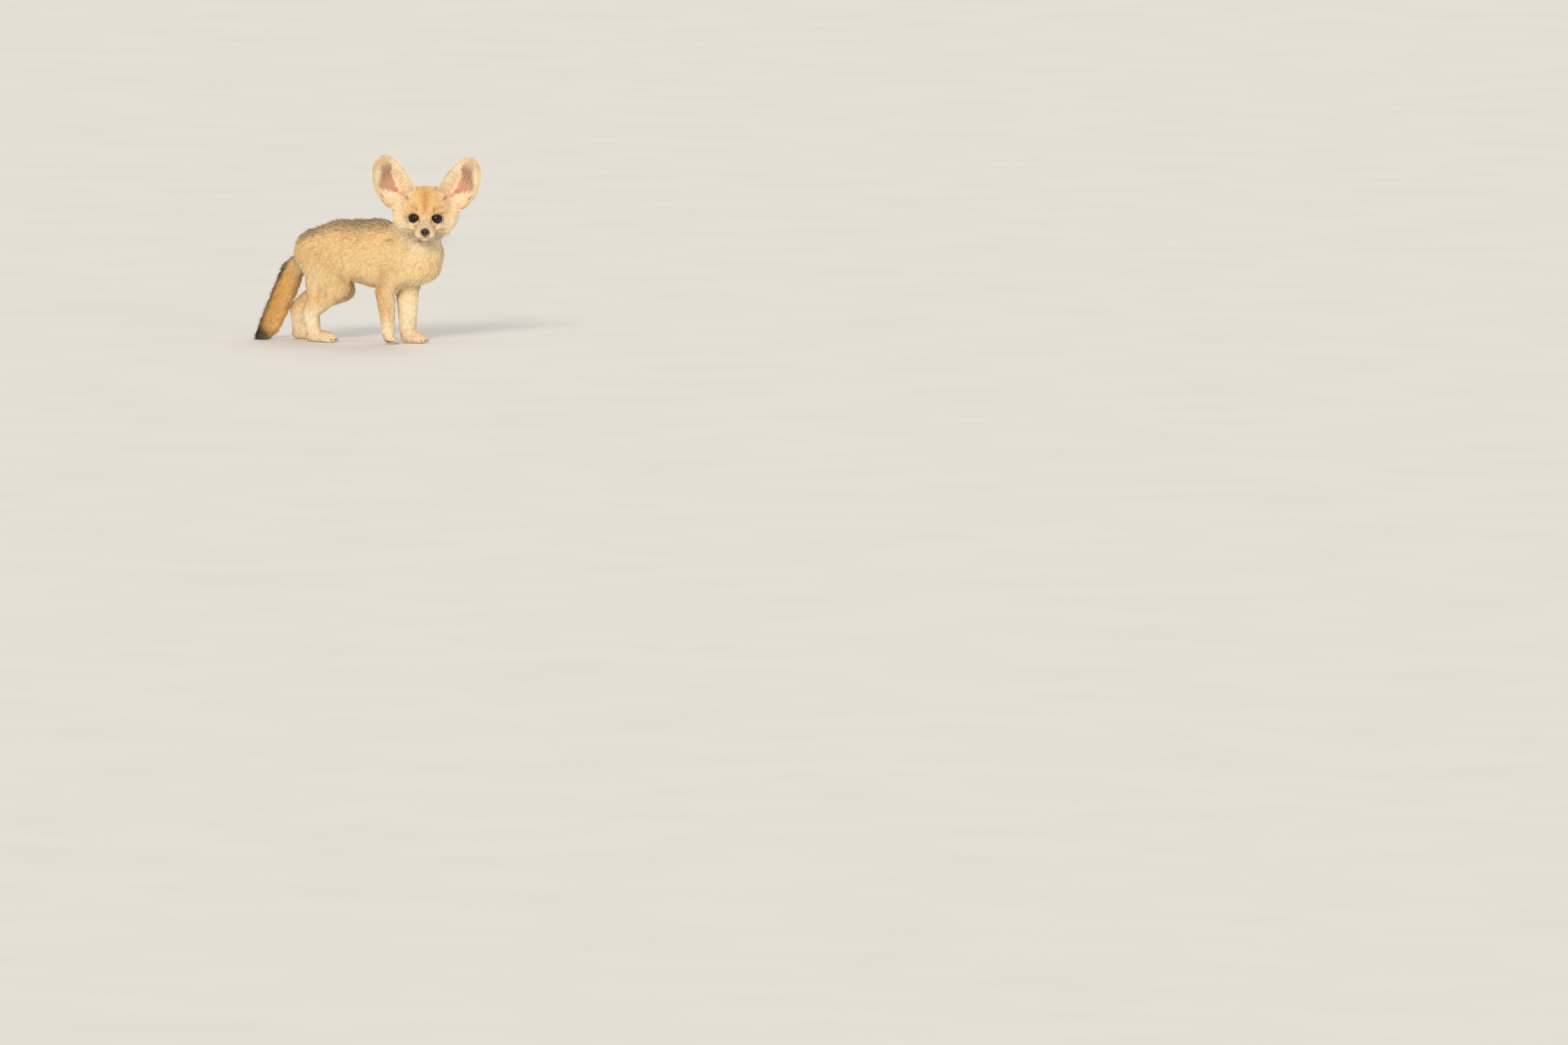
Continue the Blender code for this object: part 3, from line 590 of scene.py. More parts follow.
PAWS = {"fore_right": (38, -16, -25), "fore_left": (49, 16, -6), "hind_right": (-64, -19, -4),
        "hind_left": (-104, 19, 0)}
MUZZLE_TIP = np.array(HEAD @ Vector((45, 0, -15)))


def coat_lie(places, normals, shares):
    """The direction in which a hair leans at each place, as a unit vector in the skin."""
    trunk = np.stack([-1 + 0.9 * np.maximum(0, normals[:, 0]), np.zeros(len(places)),
                      -0.38 - 1.0 * np.maximum(0, normals[:, 0])], 1)
    neck = np.tile(unit(np.array([-0.75, 0.35, -0.62])), (len(places), 1))
    head = unit(places - MUZZLE_TIP)
    head[:, 2] -= 0.25 * ramp(-in_head(places)[:, 2], 0, 20)
    leg = np.tile((-0.12, 0.0, -1.0), (len(places), 1))
    for x, y, toes in PAWS.values():
        near = np.hypot(places[:, 0] - x - SHIFT.x - 6, places[:, 1] - y - SHIFT.y)
        ahead = np.array([math.cos(math.radians(toes)), math.sin(math.radians(toes)), -0.35])
        leg += (ramp(-near, -26, -16) * ramp(-places[:, 2], -17, -9))[:, None] * 3 * ahead
    heading = along_tail(places)[1]
    lie = (unit(trunk) * shares["torso"][:, None] + neck * shares["neck"][:, None]
           + head * shares["head"][:, None] + unit(leg) * (shares["fore"] + shares["hind"])[:, None]
           + heading * shares["tail"][:, None])
    lie -= normals * (lie * normals).sum(1, keepdims=True)
    lie = unit(lie)
    sway = 0.30 * ripple(places, 34, 3) + 0.14 * ripple(places, 12, 4)
    sway *= 1 - 0.6 * shares["head"]
    return unit(lie * np.cos(sway)[:, None] + np.cross(normals, lie) * np.sin(sway)[:, None])


def from_stroke(side, high, start, run):
    """The distance from a short straight line on the face, and how far along it, from 0 to 1."""
    along = ((side - start[0]) * run[0] + (high - start[1]) * run[1]) / (run[0] ** 2 + run[1] ** 2)
    along = np.clip(along, 0, 1)
    return np.hypot(side - start[0] - run[0] * along, high - start[1] - run[1] * along), along


def ear_foot(places):
    """How much a place on the skull belongs to the fluff at the foot of an ear."""
    ahead, left, high = in_head(places).T
    side = np.abs(left)
    above = high - np.interp(side, (11, 14, 17, 30, 44), (34, 25, 20.5, 17.5, 12))
    return ramp(above, -3, 3) * ramp(side, 10.5, 13.5) * ramp(ahead, -34, -24)


def canal_line(places):
    """How near a place on the skull is to the dark fold that runs into the ear."""
    ahead, left, high = in_head(places).T
    side = np.abs(left)
    from_line = from_stroke(side, high, (20.5, 16.5), (12.5, 7.0))[0]
    return spot(from_line, 0, 1.3) * ramp(ahead, -24, -12)


normals = point_normals(points, faces)
shares = shares_at(points[:flesh_count])
shares = {kind: np.concatenate([values, np.full(len(points) - flesh_count, float(kind == "head"))])
          for kind, values in shares.items()}
lie = coat_lie(points, normals, shares)
for side in (1, -1):
    here = ear_side == side
    axis, across = (TURN_HEAD @ direction for direction in ear_axes(side)[2:4])
    s = ear_s[here][:, None]
    inner = ramp(-s, 0.15, 0.3) * ramp(s, -0.78, -0.62)
    edge = ramp(-s, 0.66, 0.9)
    outer = ramp(s, 0.2, 0.6)
    on_cup = axis * (0.9 - 1.25 * inner) + across * (0.95 * inner + 0.55 * outer - 0.35 * edge)
    on_back = np.tile(axis, (here.sum(), 1)) + across * 0.25 * s
    way = np.where(ear_within[here][:, None] > 0.5, on_cup, on_back)
    way = way - normals[here] * (way * normals[here]).sum(1, keepdims=True)
    lie[here] = unit(way)
foot_share = ear_foot(points) * shares["head"] * ~on_ear * ~on_lid
side_of = np.sign(in_head(points)[:, 1])
up_the_ear = np.stack([np.full(len(points), -0.1), 0.35 * side_of, np.ones(len(points))], 1) @ TURN_HEAD.T
lie = lie + (up_the_ear - lie) * foot_share[:, None]
lie = unit(lie - normals * (lie * normals).sum(1, keepdims=True))
print("lie set at", len(points), "points")

# %% [markdown]
# One rule gives the colours that both the skin and the coat read, and it also paints a shadow under the jaw.
# An ochre stripe runs from the crown to between the eyes, rusty patches run down beside the muzzle, and the
# tail is golden ochre with a dark patch near its root and a dark end. Colours are written as they look on a
# screen and changed to light values.

# %% Markings and a painted shadow under the jaw
def tone(red, green, blue):
    values = np.array([red, green, blue]) / 255
    return np.where(values <= 0.04045, values / 12.92, ((values + 0.055) / 1.055) ** 2.4)


def paint(colours, *layers):
    """Lays one layer after another over the colours. A layer is a colour and its amount at each point."""
    for colour, amount in layers:
        colours = colours + (colour - colours) * np.clip(amount, 0, 1)[:, None]
    return colours


CREAM_BUFF = tone(222, 196, 147)
GREY_BUFF = tone(164, 140, 112)
PALE_BUFF = tone(240, 219, 177)
NEAR_WHITE = tone(248, 230, 200)
OCHRE = tone(218, 168, 100)
STRIPE = tone(206, 144, 76)
RUST = tone(200, 118, 60)
GREY_WHITE = tone(246, 220, 186)
MUZZLE = tone(226, 200, 166)
DARK_BROWN = tone(50, 34, 26)
TAIL_GOLD = tone(204, 158, 86)
TAIL_MARGIN = tone(142, 102, 70)
TAIL_DARK = tone(46, 34, 27)
EAR_PINK = tone(206, 152, 126)
EAR_BROWN = tone(156, 118, 90)
EAR_CREAM = tone(252, 232, 202)
FACE_BUFF = tone(240, 208, 156)
BROW_GOLD = tone(238, 198, 136)
EAR_FOLD = tone(150, 92, 62)
TEAR_BROWN = tone(84, 54, 36)
LIP_CREAM = tone(246, 220, 184)
# The colour of a painted shadow under the jaw
PAINTED_JAW_SHADOW = tone(150, 112, 78)
TAIL_PALE = tone(224, 184, 124)
EAR_BACK = tone(228, 194, 148)
FRINGE_BUFF = tone(222, 190, 148)
BOWL_CREAM = tone(242, 214, 182)
BOWL_ROSE = tone(176, 112, 84)
EAR_TIP_BUFF = tone(226, 196, 158)
SLIT_ROSE = tone(206, 140, 112)
LID_RIM = tone(34, 24, 20)


def in_eye(places, side):
    """The places in one eye's directions: out of the eye, to the left and up."""
    inverse = np.array(EYE_FRAMES[side].inverted())
    return places @ inverse[:3, :3].T + inverse[:3, 3]


def eye_ring(places):
    """1 on the edge of the nearer eye's opening, less within it and more beyond it."""
    rings = []
    for side in (1, -1):
        ahead, left, high = in_eye(places, side).T
        ring = np.hypot(left / EYE_OPENING[0], high / EYE_OPENING[1])
        rings.append(np.where(ahead > 0, ring, 9.0))
    return np.minimum(*rings)


def body_colour(places, normals, shares):
    x, y, z = (places - np.array(SHIFT)).T
    fore, hind = shares["fore"], shares["hind"]
    outward = np.clip(normals[:, 1] * np.sign(y), 0, 1)
    return paint(
        CREAM_BUFF,
        (GREY_BUFF, 0.7 * ramp(normals[:, 2], 0.45, 1.0) * ramp(z, 92, 116)),  # along the back
        (PALE_BUFF, 0.75 * ramp(-normals[:, 2], -0.25, 0.55)),  # whatever faces down
        (PALE_BUFF, 0.7 * ramp(x, 56, 76) * ramp(-z, -150, -105)),  # the chest
        (PALE_BUFF, 0.75 * ramp(-x, 36, 62) * ramp(-z, -98, -74)),  # the thighs
        (NEAR_WHITE, (fore + hind) * ramp(-z, -62, -18)),  # down the legs, and their inner sides
        (NEAR_WHITE, 0.9 * fore * (1 - ramp(outward, 0.1, 0.7)) * ramp(-z, -78, -60)),
        (NEAR_WHITE, 0.6 * hind * (1 - ramp(outward, 0.0, 0.5)) * ramp(-z, -78, -60)),
        (OCHRE, 0.36 * fore * spot(z, 50, 17) * ramp(outward, 0.2, 0.8)),  # the legs' outer and front sides
        (OCHRE, 0.2 * hind * spot(z, 60, 12) * ramp(normals[:, 0], -0.2, 0.7)),
        (OCHRE, 0.2 * hind * spot(z, 48, 14) * ramp(-normals[:, 0], 0.0, 0.7)),
        (OCHRE, 0.14 + 0.12 * ripple(places, 46, 8)))  # an uneven warmth all over


def brow_strokes(ahead, side, high):
    """The thin dark strokes that fan up from the inner corner of the eye."""
    for k in range(5):
        from_line, along = from_stroke(side, high, (8.8, 4.6), (1.0 + 2.6 * k, 9.0 - 0.9 * k))
        stroke = 0.36 * spot(from_line, 0, 0.5) * ramp(along, -0.3, 0.3) * (1 - 0.6 * along)
        yield DARK_BROWN, stroke * ramp(ahead, 6, 14)


def whisker_dots(ahead, side, high):
    """The dark dots that the whiskers grow from, in three rows."""
    for row, drop in enumerate((-19.0, -21.4, -23.6)):
        for k in range(3):
            place = (39.5 - 2.8 * k, 8.2 + 0.9 * k + 0.3 * row, drop)
            away = np.sqrt((ahead - place[0]) ** 2 + (side - place[1]) ** 2 + (high - place[2]) ** 2)
            yield DARK_BROWN, 0.5 * spot(away, 0, 0.8)


def head_colour(places):
    ahead, left, high = in_head(places).T
    side = np.abs(left)
    stripe = 0.75 * spot(left + 0.6, 0, 1.6 + 0.26 * np.maximum(0, high - 4)) * ramp(high, 0, 9)
    tear = spot(side, 7.2, 1.1) * ramp(high, -10.5, -7) * ramp(-high, 0, 2.5) * ramp(ahead, 12, 20)
    smudge = spot(side, 12.8, 1.6) * ramp(high, -24.5, -22) * ramp(-high, 17, 19.5) * ramp(ahead, 22, 28)
    return paint(
        FACE_BUFF,
        (GREY_WHITE, 0.85 * ramp(side, 19, 30)),  # the temples
        (NEAR_WHITE, 0.55 * ramp(-high, 5, 13) * ramp(-ahead, -36, -20)),  # the cheeks
        (NEAR_WHITE, 0.8 * ramp(-high, 22, 27)),  # the chin and throat
        (NEAR_WHITE, spot(side, 17, 6) * spot(high, -11.5, 4.4) * ramp(ahead, 6, 14)),  # under the eyes
        (BROW_GOLD, 0.85 * ramp(high, -6, 6) * ramp(-side, -24, -12)),  # the forehead
        (STRIPE, stripe * (1 - 0.6 * ramp(high, 20, 33))),
        (STRIPE, 0.12 * ramp(high, 20, 34) * ramp(-side, -20, -8)),  # the crown
        (EAR_CREAM, 0.85 * ear_foot(places)),
        (EAR_FOLD, 0.7 * canal_line(places)),
        (MUZZLE, 0.9 * ramp(ahead, 27, 35) * ramp(high, -24, -16)),
        (EAR_CREAM, 0.75 * spot(side, 8.5, 3.0) * spot(high, -22, 3.2) * ramp(ahead, 27, 33)),  # its pads
        (OCHRE, 0.75 * spot(side, 11.5, 1.8) * spot(high, -13.2, 3.0) * ramp(ahead, 18, 26)),  # beside it
        (RUST, 0.3 * spot(side, 10.4, 1.4) * spot(high, -14.5, 2.0) * ramp(ahead, 20, 28)),
        (TEAR_BROWN, 0.62 * tear),
        *brow_strokes(ahead, side, high),
        (DARK_BROWN, 0.26 * smudge),
        *whisker_dots(ahead, side, high),
        (LIP_CREAM, 0.8 * spot(side, 0, 5.8) * spot(high, -27.8, 1.4) * ramp(ahead, 18, 26)),
        # a painted shadow under the jaw, on the throat
        (PAINTED_JAW_SHADOW, 0.6 * spot(high, -31, 1.4) * ramp(-side, -16, -10) * ramp(ahead, 8, 18)),
        (RUST, 0.1 * spot(eye_ring(places), 1.45, 0.25) * ramp(high, -4, 4)))


def tail_colour(places):
    far, heading, out = along_tail(places)
    rearward = np.array([-1.0, 0, 0.35])
    rear = rearward - heading * (heading @ rearward)[:, None]
    dorsal = (unit(out) * unit(rear)).sum(1)
    blend = far + 5 * ripple(places, 16, 12) + 6 * dorsal
    return paint(
        TAIL_GOLD,
        (TAIL_PALE, 0.6 * ramp(-dorsal, 0.1, 0.9)),
        (TAIL_MARGIN, 0.75 * ramp(dorsal, 0.35, 0.95)),
        (TAIL_DARK, 0.9 * ramp(dorsal, 0.0, 0.7) * spot(far, 18, 9)),  # the patch near the root
        (TAIL_DARK, 0.93 * ramp(blend, 78, 104)))  # the dark end


def bare_band(s, share):
    """How bare the cup is: a slanting band of skin, and a small slit in the fold of its outer edge."""
    centre = -0.10 + 0.26 * ramp(share, 0.25, 0.55) - 0.62 * ramp(share, 0.58, 0.95)
    comb = 0.05 * np.sin(share * 78 + 3 * s) + 0.035 * np.sin(share * 47 - 5 * s + 1)
    reach = 0.44 - 0.24 * ramp(share, 0.5, 0.9) + comb * (s < centre)
    end = 1.04 - 0.38 * ramp(s, -0.55, 0.45) + 0.02 * np.sin(s * 40)
    band = ramp(reach - np.abs(s - centre), 0.0, 0.2) * ramp(share, 0.06, 0.2) * ramp(end - share, 0.0, 0.14)
    slit = spot(s, 0.57 - 0.5 * (share - 0.67), 0.05) * ramp(share, 0.64, 0.7) * ramp(-share, -0.86, -0.8)
    return band, slit


def ear_colour(s, share, within):
    back_of = paint(EAR_BACK, (EAR_CREAM, ramp(np.abs(s), 0.7, 0.95)), (GREY_WHITE, ramp(share, 0.75, 1.0)))
    band, slit = bare_band(s, share)
    streak = 0.5 + 0.5 * np.sin(s * 46 + 9 * np.sin(share * 13))
    bare_skin = paint(
        EAR_PINK,
        (EAR_BROWN, ramp(-share, -0.58, -0.3)),
        (BOWL_ROSE, 0.8 * ramp(share, 0.7, 0.9)),
        (EAR_CREAM, 0.28 * streak * ramp(-share, -0.8, -0.4)))
    line = spot(s, -0.16 - 0.75 * (share - 0.86), 0.07) * ramp(share, 0.66, 0.76)
    cup = paint(
        EAR_CREAM,
        (FRINGE_BUFF, 0.8 * spot(s, -0.52, 0.1) * ramp(share, 0.2, 0.4)),
        (BOWL_CREAM, 0.8 * ramp(share, 0.7, 0.9)),
        (bare_skin, band),
        (RUST, 0.8 * (line * ramp(-share, -1.04, -0.98))),
        (EAR_TIP_BUFF, 0.7 * ramp(-share, -0.3, -0.08)),
        (SLIT_ROSE, 0.9 * slit))
    return np.where(within[:, None] > 0.5, cup, back_of)


colours = paint(body_colour(points, normals, shares), (head_colour(points), shares["head"]),
                (tail_colour(points), shares["tail"]), (LID_RIM, lid_dark))
colours[on_ear] = ear_colour(ear_s[on_ear], ear_share[on_ear], ear_within[on_ear])
print("mean colour in light values:", colours.mean(0).round(2))

# %% [markdown]
# Materials come from one small maker. Each has a single Principled shader whose colour is a painted
# attribute or a fixed tone, broken up by noise in object space, with a bump of the right grain. The coat's
# shader leans its shading normal towards the skin's own wherever a blade is seen from its outer side, as a
# pelt is lit as one soft surface and not as loose blades.

# %% Materials
def node(tree, kind, **settings):
    made = tree.nodes.new(kind)
    for name, value in settings.items():
        setattr(made, name, value)
    return made


def set_inputs(made, values):
    for name, value in values.items():
        made.inputs[name].default_value = value


def link_up(tree, *links):
    """Links nodes. Each link is a node, its output, the next node and that one's input."""
    for start, out, end, into in links:
        tree.links.new(start.outputs[out], end.inputs[into])


def lean_normals(tree, shader, lean):
    """Leans the shading normal towards the skin's, where both point the same way."""
    skin_normal = node(tree, "ShaderNodeAttribute", attribute_name="skin_normal")
    own = node(tree, "ShaderNodeNewGeometry")
    agree = node(tree, "ShaderNodeVectorMath", operation="DOT_PRODUCT")
    outer_side = node(tree, "ShaderNodeMath", operation="GREATER_THAN")
    outer_side.inputs[1].default_value = 0
    turned = node(tree, "ShaderNodeVectorMath", operation="SCALE")
    blend = node(tree, "ShaderNodeMix", data_type="VECTOR")
    blend.inputs["Factor"].default_value = lean
    unit_length = node(tree, "ShaderNodeVectorMath", operation="NORMALIZE")
    link_up(tree, (skin_normal, "Vector", agree, 0), (own, "Normal", agree, 1),
            (agree, "Value", outer_side, 0), (skin_normal, "Vector", turned, "Vector"),
            (outer_side, "Value", turned, "Scale"), (own, "Normal", blend, "A"),
            (turned, "Vector", blend, "B"), (blend, "Result", unit_length, 0),
            (unit_length, "Vector", shader, "Normal"))


def make_finish(name, roughness, colour=None, grain=400, depth=0.15, mottle=0.12, stretch=(1, 1, 1),
                sheen=0.0, specular=0.5, lean=None, subsurface=0.0, darken=1.0):
    """A procedural finish on object coordinates. Where no colour is given, it reads each point's colour,
    painted shade included.
    """
    material = bpy.data.materials.new(name)
    material.use_nodes = True
    tree = material.node_tree
    shader = tree.nodes["Principled BSDF"]
    set_inputs(shader, {"Roughness": roughness, "Specular IOR Level": specular, "Sheen Weight": sheen,
                        "Subsurface Weight": subsurface, "Subsurface Radius": (0.004, 0.0018, 0.001),
                        "Subsurface Scale": 1.0})
    where = node(tree, "ShaderNodeTexCoord")
    mapping = node(tree, "ShaderNodeMapping")
    set_inputs(mapping, {"Scale": stretch})
    noise = node(tree, "ShaderNodeTexNoise")
    set_inputs(noise, {"Scale": grain, "Detail": 3})
    if colour is None:
        painted = node(tree, "ShaderNodeAttribute", attribute_name="markings_and_shade")
    else:
        painted = node(tree, "ShaderNodeRGB")
        painted.outputs["Color"].default_value = (*colour, 1)
    shade = node(tree, "ShaderNodeMapRange")
    set_inputs(shade, {"From Min": 0.3, "From Max": 0.7, "To Min": darken * (1 - mottle),
                       "To Max": darken * (1 + mottle)})
    tint = node(tree, "ShaderNodeVectorMath", operation="SCALE")
    link_up(tree, (where, "Object", mapping, "Vector"), (mapping, "Vector", noise, "Vector"),
            (noise, "Fac", shade, "Value"), (painted, "Color", tint, "Vector"),
            (shade, "Result", tint, "Scale"), (tint, "Vector", shader, "Base Color"))
    if lean is None:
        bump = node(tree, "ShaderNodeBump")
        set_inputs(bump, {"Strength": depth, "Distance": 0.0006})
        link_up(tree, (noise, "Fac", bump, "Height"), (bump, "Normal", shader, "Normal"))
    else:
        lean_normals(tree, shader, lean)
    return material


FUR = make_finish("fennec_coat", 0.62, grain=260, mottle=0.10, lean=0.55, sheen=0.1, specular=0.25)
EAR_FUR = make_finish("ear_fur", 0.62, grain=300, mottle=0.08, lean=0.0, sheen=0.1, specular=0.25)
HIDE = make_finish("short_fur_on_skin", 0.85, grain=900, depth=0.6, mottle=0.22, stretch=(0.5, 0.5, 1.0),
                   specular=0.2, darken=0.86)
EAR_SKIN = make_finish("bare_ear_skin", 0.55, grain=700, depth=0.25, mottle=0.10, specular=0.3,
                       subsurface=0.25)
LID_SKIN = make_finish("eyelid", 0.5, grain=1400, depth=0.35, mottle=0.15, specular=0.3)
print("finishes:", [material.name for material in bpy.data.materials])

# %% [markdown]
# The skin becomes one object, unwrapped by its own shape. Each tuft will remember the place of its root on
# this unwrap. The ears' points come last in the arrays, so their faces take the bare ear finish.

# %% The skin piece
skin_mesh = mesh_from("skin", points, faces)
skin = place_piece("skin", skin_mesh, HIDE)
skin_mesh.materials.append(EAR_SKIN)
skin_mesh.materials.append(LID_SKIN)
skin_mesh.polygons.foreach_set("material_index", (on_ear + 2 * on_lid)[faces[:, 0]].astype(np.int32))
set_markings_and_shade(skin_mesh, colours)
bpy.context.view_layer.objects.active = skin
skin.select_set(True)
bpy.ops.object.mode_set(mode="EDIT")
bpy.ops.mesh.select_all(action="SELECT")
bpy.ops.uv.smart_project(angle_limit=math.radians(70), island_margin=0.0005)
bpy.ops.object.mode_set(mode="OBJECT")
skin.select_set(False)
skin_mesh.uv_layers[0].name = "unwrap"
unwrap = np.empty(len(faces) * 6)
skin_mesh.uv_layers[0].data.foreach_get("uv", unwrap)
unwrap = unwrap.reshape(-1, 3, 2)
print("skin unwrapped,", len(skin_mesh.polygons), "triangles")

# %% [markdown]
# A tuft's length, width and lift, and how many grow on a square millimetre, are set once for every point
# of the skin. Muzzle and toes get the smallest and densest tufts. None grows inside the eye's opening, few on
# the bare band of the ear, and a close fringe on the outer part of the lids.

# %% Sizes of the tufts
NOSE_PLACE = (45.2, 0.4, -18.6)
length =coat_length(points, shares)
short = np.clip((length - 1.5) / 8, 0, 1)
width = 0.25 + 0.23 * short
density = 7.4 - 3.3 * short
lift = np.radians(27 + 11 * short)
settle_to = np.radians(8 + 4 * short)
lift += np.radians(9) * shares["torso"] * ramp(points[:, 0], 42, 74) * ramp(-points[:, 2], -138, -100)
leg_share = shares["fore"] + shares["hind"]
density *= 1 - 0.42 * shares["fore"] - 0.54 * shares["hind"]
width *= 1 + 0.25 * leg_share
length += 3.0 * foot_share
length *= 1 - 0.6 * canal_line(points) * foot_share
tail_share = shares["tail"]
width += tail_share * 0.06
density += tail_share * 1.0
lift += tail_share * np.radians(4)
near_head = shares["head"] > 0.5
from_nose = np.linalg.norm(points - np.array(HEAD @ Vector(NOSE_PLACE)), axis=1)
density[near_head & (from_nose < 6.2)] = 0
density[near_head & ~on_lid & (eye_ring(points) < 1.35)] = 0
density[on_lid] = 11
density[on_lid & ((lid_out < 1.04) | (lid_out > 1.7))] = 0
density[:flesh_count][sunk_for_ear > 2.5] = 0
s, share = ear_s, ear_share
in_cup = on_ear & (ear_within > 0.5)
behind = on_ear & (ear_within <= 0.5)
length[behind] = 3.0 + 4.0 * ramp(share[behind], 0.75, 1.05)
density[behind] = 4.4
width[behind] = 0.30
lift[behind], settle_to[behind] = math.radians(14), math.radians(4)
fringe = ramp(-s, 0.32, 0.42) * ramp(s, -0.74, -0.6) * ramp(share, 0.16, 0.34)
band, slit = bare_band(s, share)
foot = ramp(share, 0.74, 0.92)
bare = np.maximum(band, slit)
length[in_cup] = (2.8 + 7.4 * fringe * (1 - 0.5 * foot) + 5.0 * foot - 0.8 * bare)[in_cup]
density[in_cup] = ((4.6 + 1.6 * foot) * (1 - 0.86 * bare))[in_cup]
width[in_cup] = (0.27 + 0.08 * fringe)[in_cup]
lift[in_cup] = np.radians(18 + 16 * fringe)[in_cup]
settle_to[in_cup] = math.radians(10)
length[on_lid], lift[on_lid], width[on_lid] = 1.7, math.radians(30), 0.2
density[on_ear & (share > 1.02)] = 0
print("tuft lengths from", length.min().round(1), "to", length.max().round(1), "mm")

# %% [markdown]
# A tuft is a flat blade of five triangles, or of three in a short coat: full near the root, and drawn to a
# point. It rises from the skin, bends back along the lie of the coat, leans towards a leading blade near it,
# which is what parts a coat into locks, and is rolled a little about its own line. A node tree could scatter
# such blades, but arrays let each one know its leader and its root's place on the unwrap.

# %% The kinds of blade
LONG ={"stops": np.array([0.0, 0.42, 0.76, 1.0]), "widths": np.array([0.75, 1.0, 0.68]),
        "triangles": np.array([(1, 0, 2), (1, 2, 3), (3, 2, 4), (3, 4, 5), (5, 4, 6)])}
SHORT = {"stops": np.array([0.0, 0.55, 1.0]), "widths": np.array([0.85, 0.95]),
         "triangles": np.array([(1, 0, 2), (1, 2, 3), (3, 2, 4)])}
MOST_TRIANGLES = 199000  # in one piece
PATCH = 0.003  # a tuft's width on the unwrap
LOWEST_LINE, LOWEST_EDGE = 0.5, 0.35  # how near to the floor a blade's middle line and its edges come
leaning_normals = normals.copy()
for side in (1, -1):
    here = on_lid & (np.sign(in_head(points)[:, 1]) == side)
    eye_ahead = np.array(EYE_FRAMES[side].to_3x3() @ Vector((1, 0, 0)))
    leaning_normals[here] = unit(0.3 * normals[here] + 0.7 * eye_ahead)
corner_area = np.linalg.norm(np.cross(points[faces[:, 1]] - points[faces[:, 0]],
                                      points[faces[:, 2]] - points[faces[:, 0]]), axis=1) / 2
expected = corner_area * density[faces].mean(1)


def mixed(values, chosen, weights):
    """Values of the skin's points, brought to the roots."""
    picked = values[faces[chosen]]
    return (picked * weights.reshape(weights.shape + (1,) * (picked.ndim - 2))).sum(1)


def bent_lines(draw, root, normal, heading, reach, first, settle, stops):
    """Each blade's middle line, which leaves the skin at its first angle and bends back along the lie."""
    bend = settle * draw.uniform(-0.7, 2.7, len(root)) - first
    bend = np.where(np.abs(bend) < 1e-3, 1e-3, bend)
    angle = first[:, None] + bend[:, None] * stops
    along = (np.sin(angle) - np.sin(first)[:, None]) / bend[:, None] * reach[:, None]
    above = (np.cos(first)[:, None] - np.cos(angle)) / bend[:, None] * reach[:, None]
    rooted = root - normal * np.minimum(0.25, 0.06 * reach)[:, None]
    spine = rooted[:, None] + heading[:, None] * along[..., None] + normal[:, None] * above[..., None]
    aside = np.cross(normal, heading) * (draw.normal(0, 0.09, len(root)) * reach)[:, None]
    return spine + aside[:, None] * (stops ** 2)[:, None]


def find_leaders(draw, root, heading, lock):
    """The leading blades, each blade's nearest one, and how far off that is. Locks are long along the lie."""
    run = heading.mean(0)
    narrowed = root - 0.7 * (root @ run)[:, None] * run
    leaders = draw.choice(len(root), max(1, len(root) // lock), replace=False)
    tree = kdtree.KDTree(len(leaders))
    for k, place in enumerate(narrowed[leaders].tolist()):
        tree.insert(place, k)
    tree.balance()
    nearest = np.array([tree.find(place)[1] for place in narrowed.tolist()])
    apart = np.linalg.norm(narrowed[leaders[nearest]] - narrowed, axis=1)
    return leaders, nearest, apart / np.median(apart)


def flat_blades(draw, spine, normal, wide, widths):
    """Blades along the middle lines, each rolled a little about its own line."""
    rungs = len(widths)
    flow = unit(np.gradient(spine, axis=1))
    over = unit(np.cross(normal[:, None], flow))
    roll = draw.normal(0, 0.4, len(spine))[:, None, None]
    over = unit(over * np.cos(roll) + np.cross(flow, over) * np.sin(roll))
    half = over[:, :rungs] * (wide[:, None] * widths / 2)[..., None]
    blades = np.empty((len(spine), 2 * rungs + 1, 3))
    blades[:, 0:-1:2] = spine[:, :rungs] - half
    blades[:, 1:-1:2] = spine[:, :rungs] + half
    blades[:, -1] = spine[:, -1]
    blades[..., 2] = np.maximum(blades[..., 2], LOWEST_EDGE)
    return blades


print("helpers for blades ready")

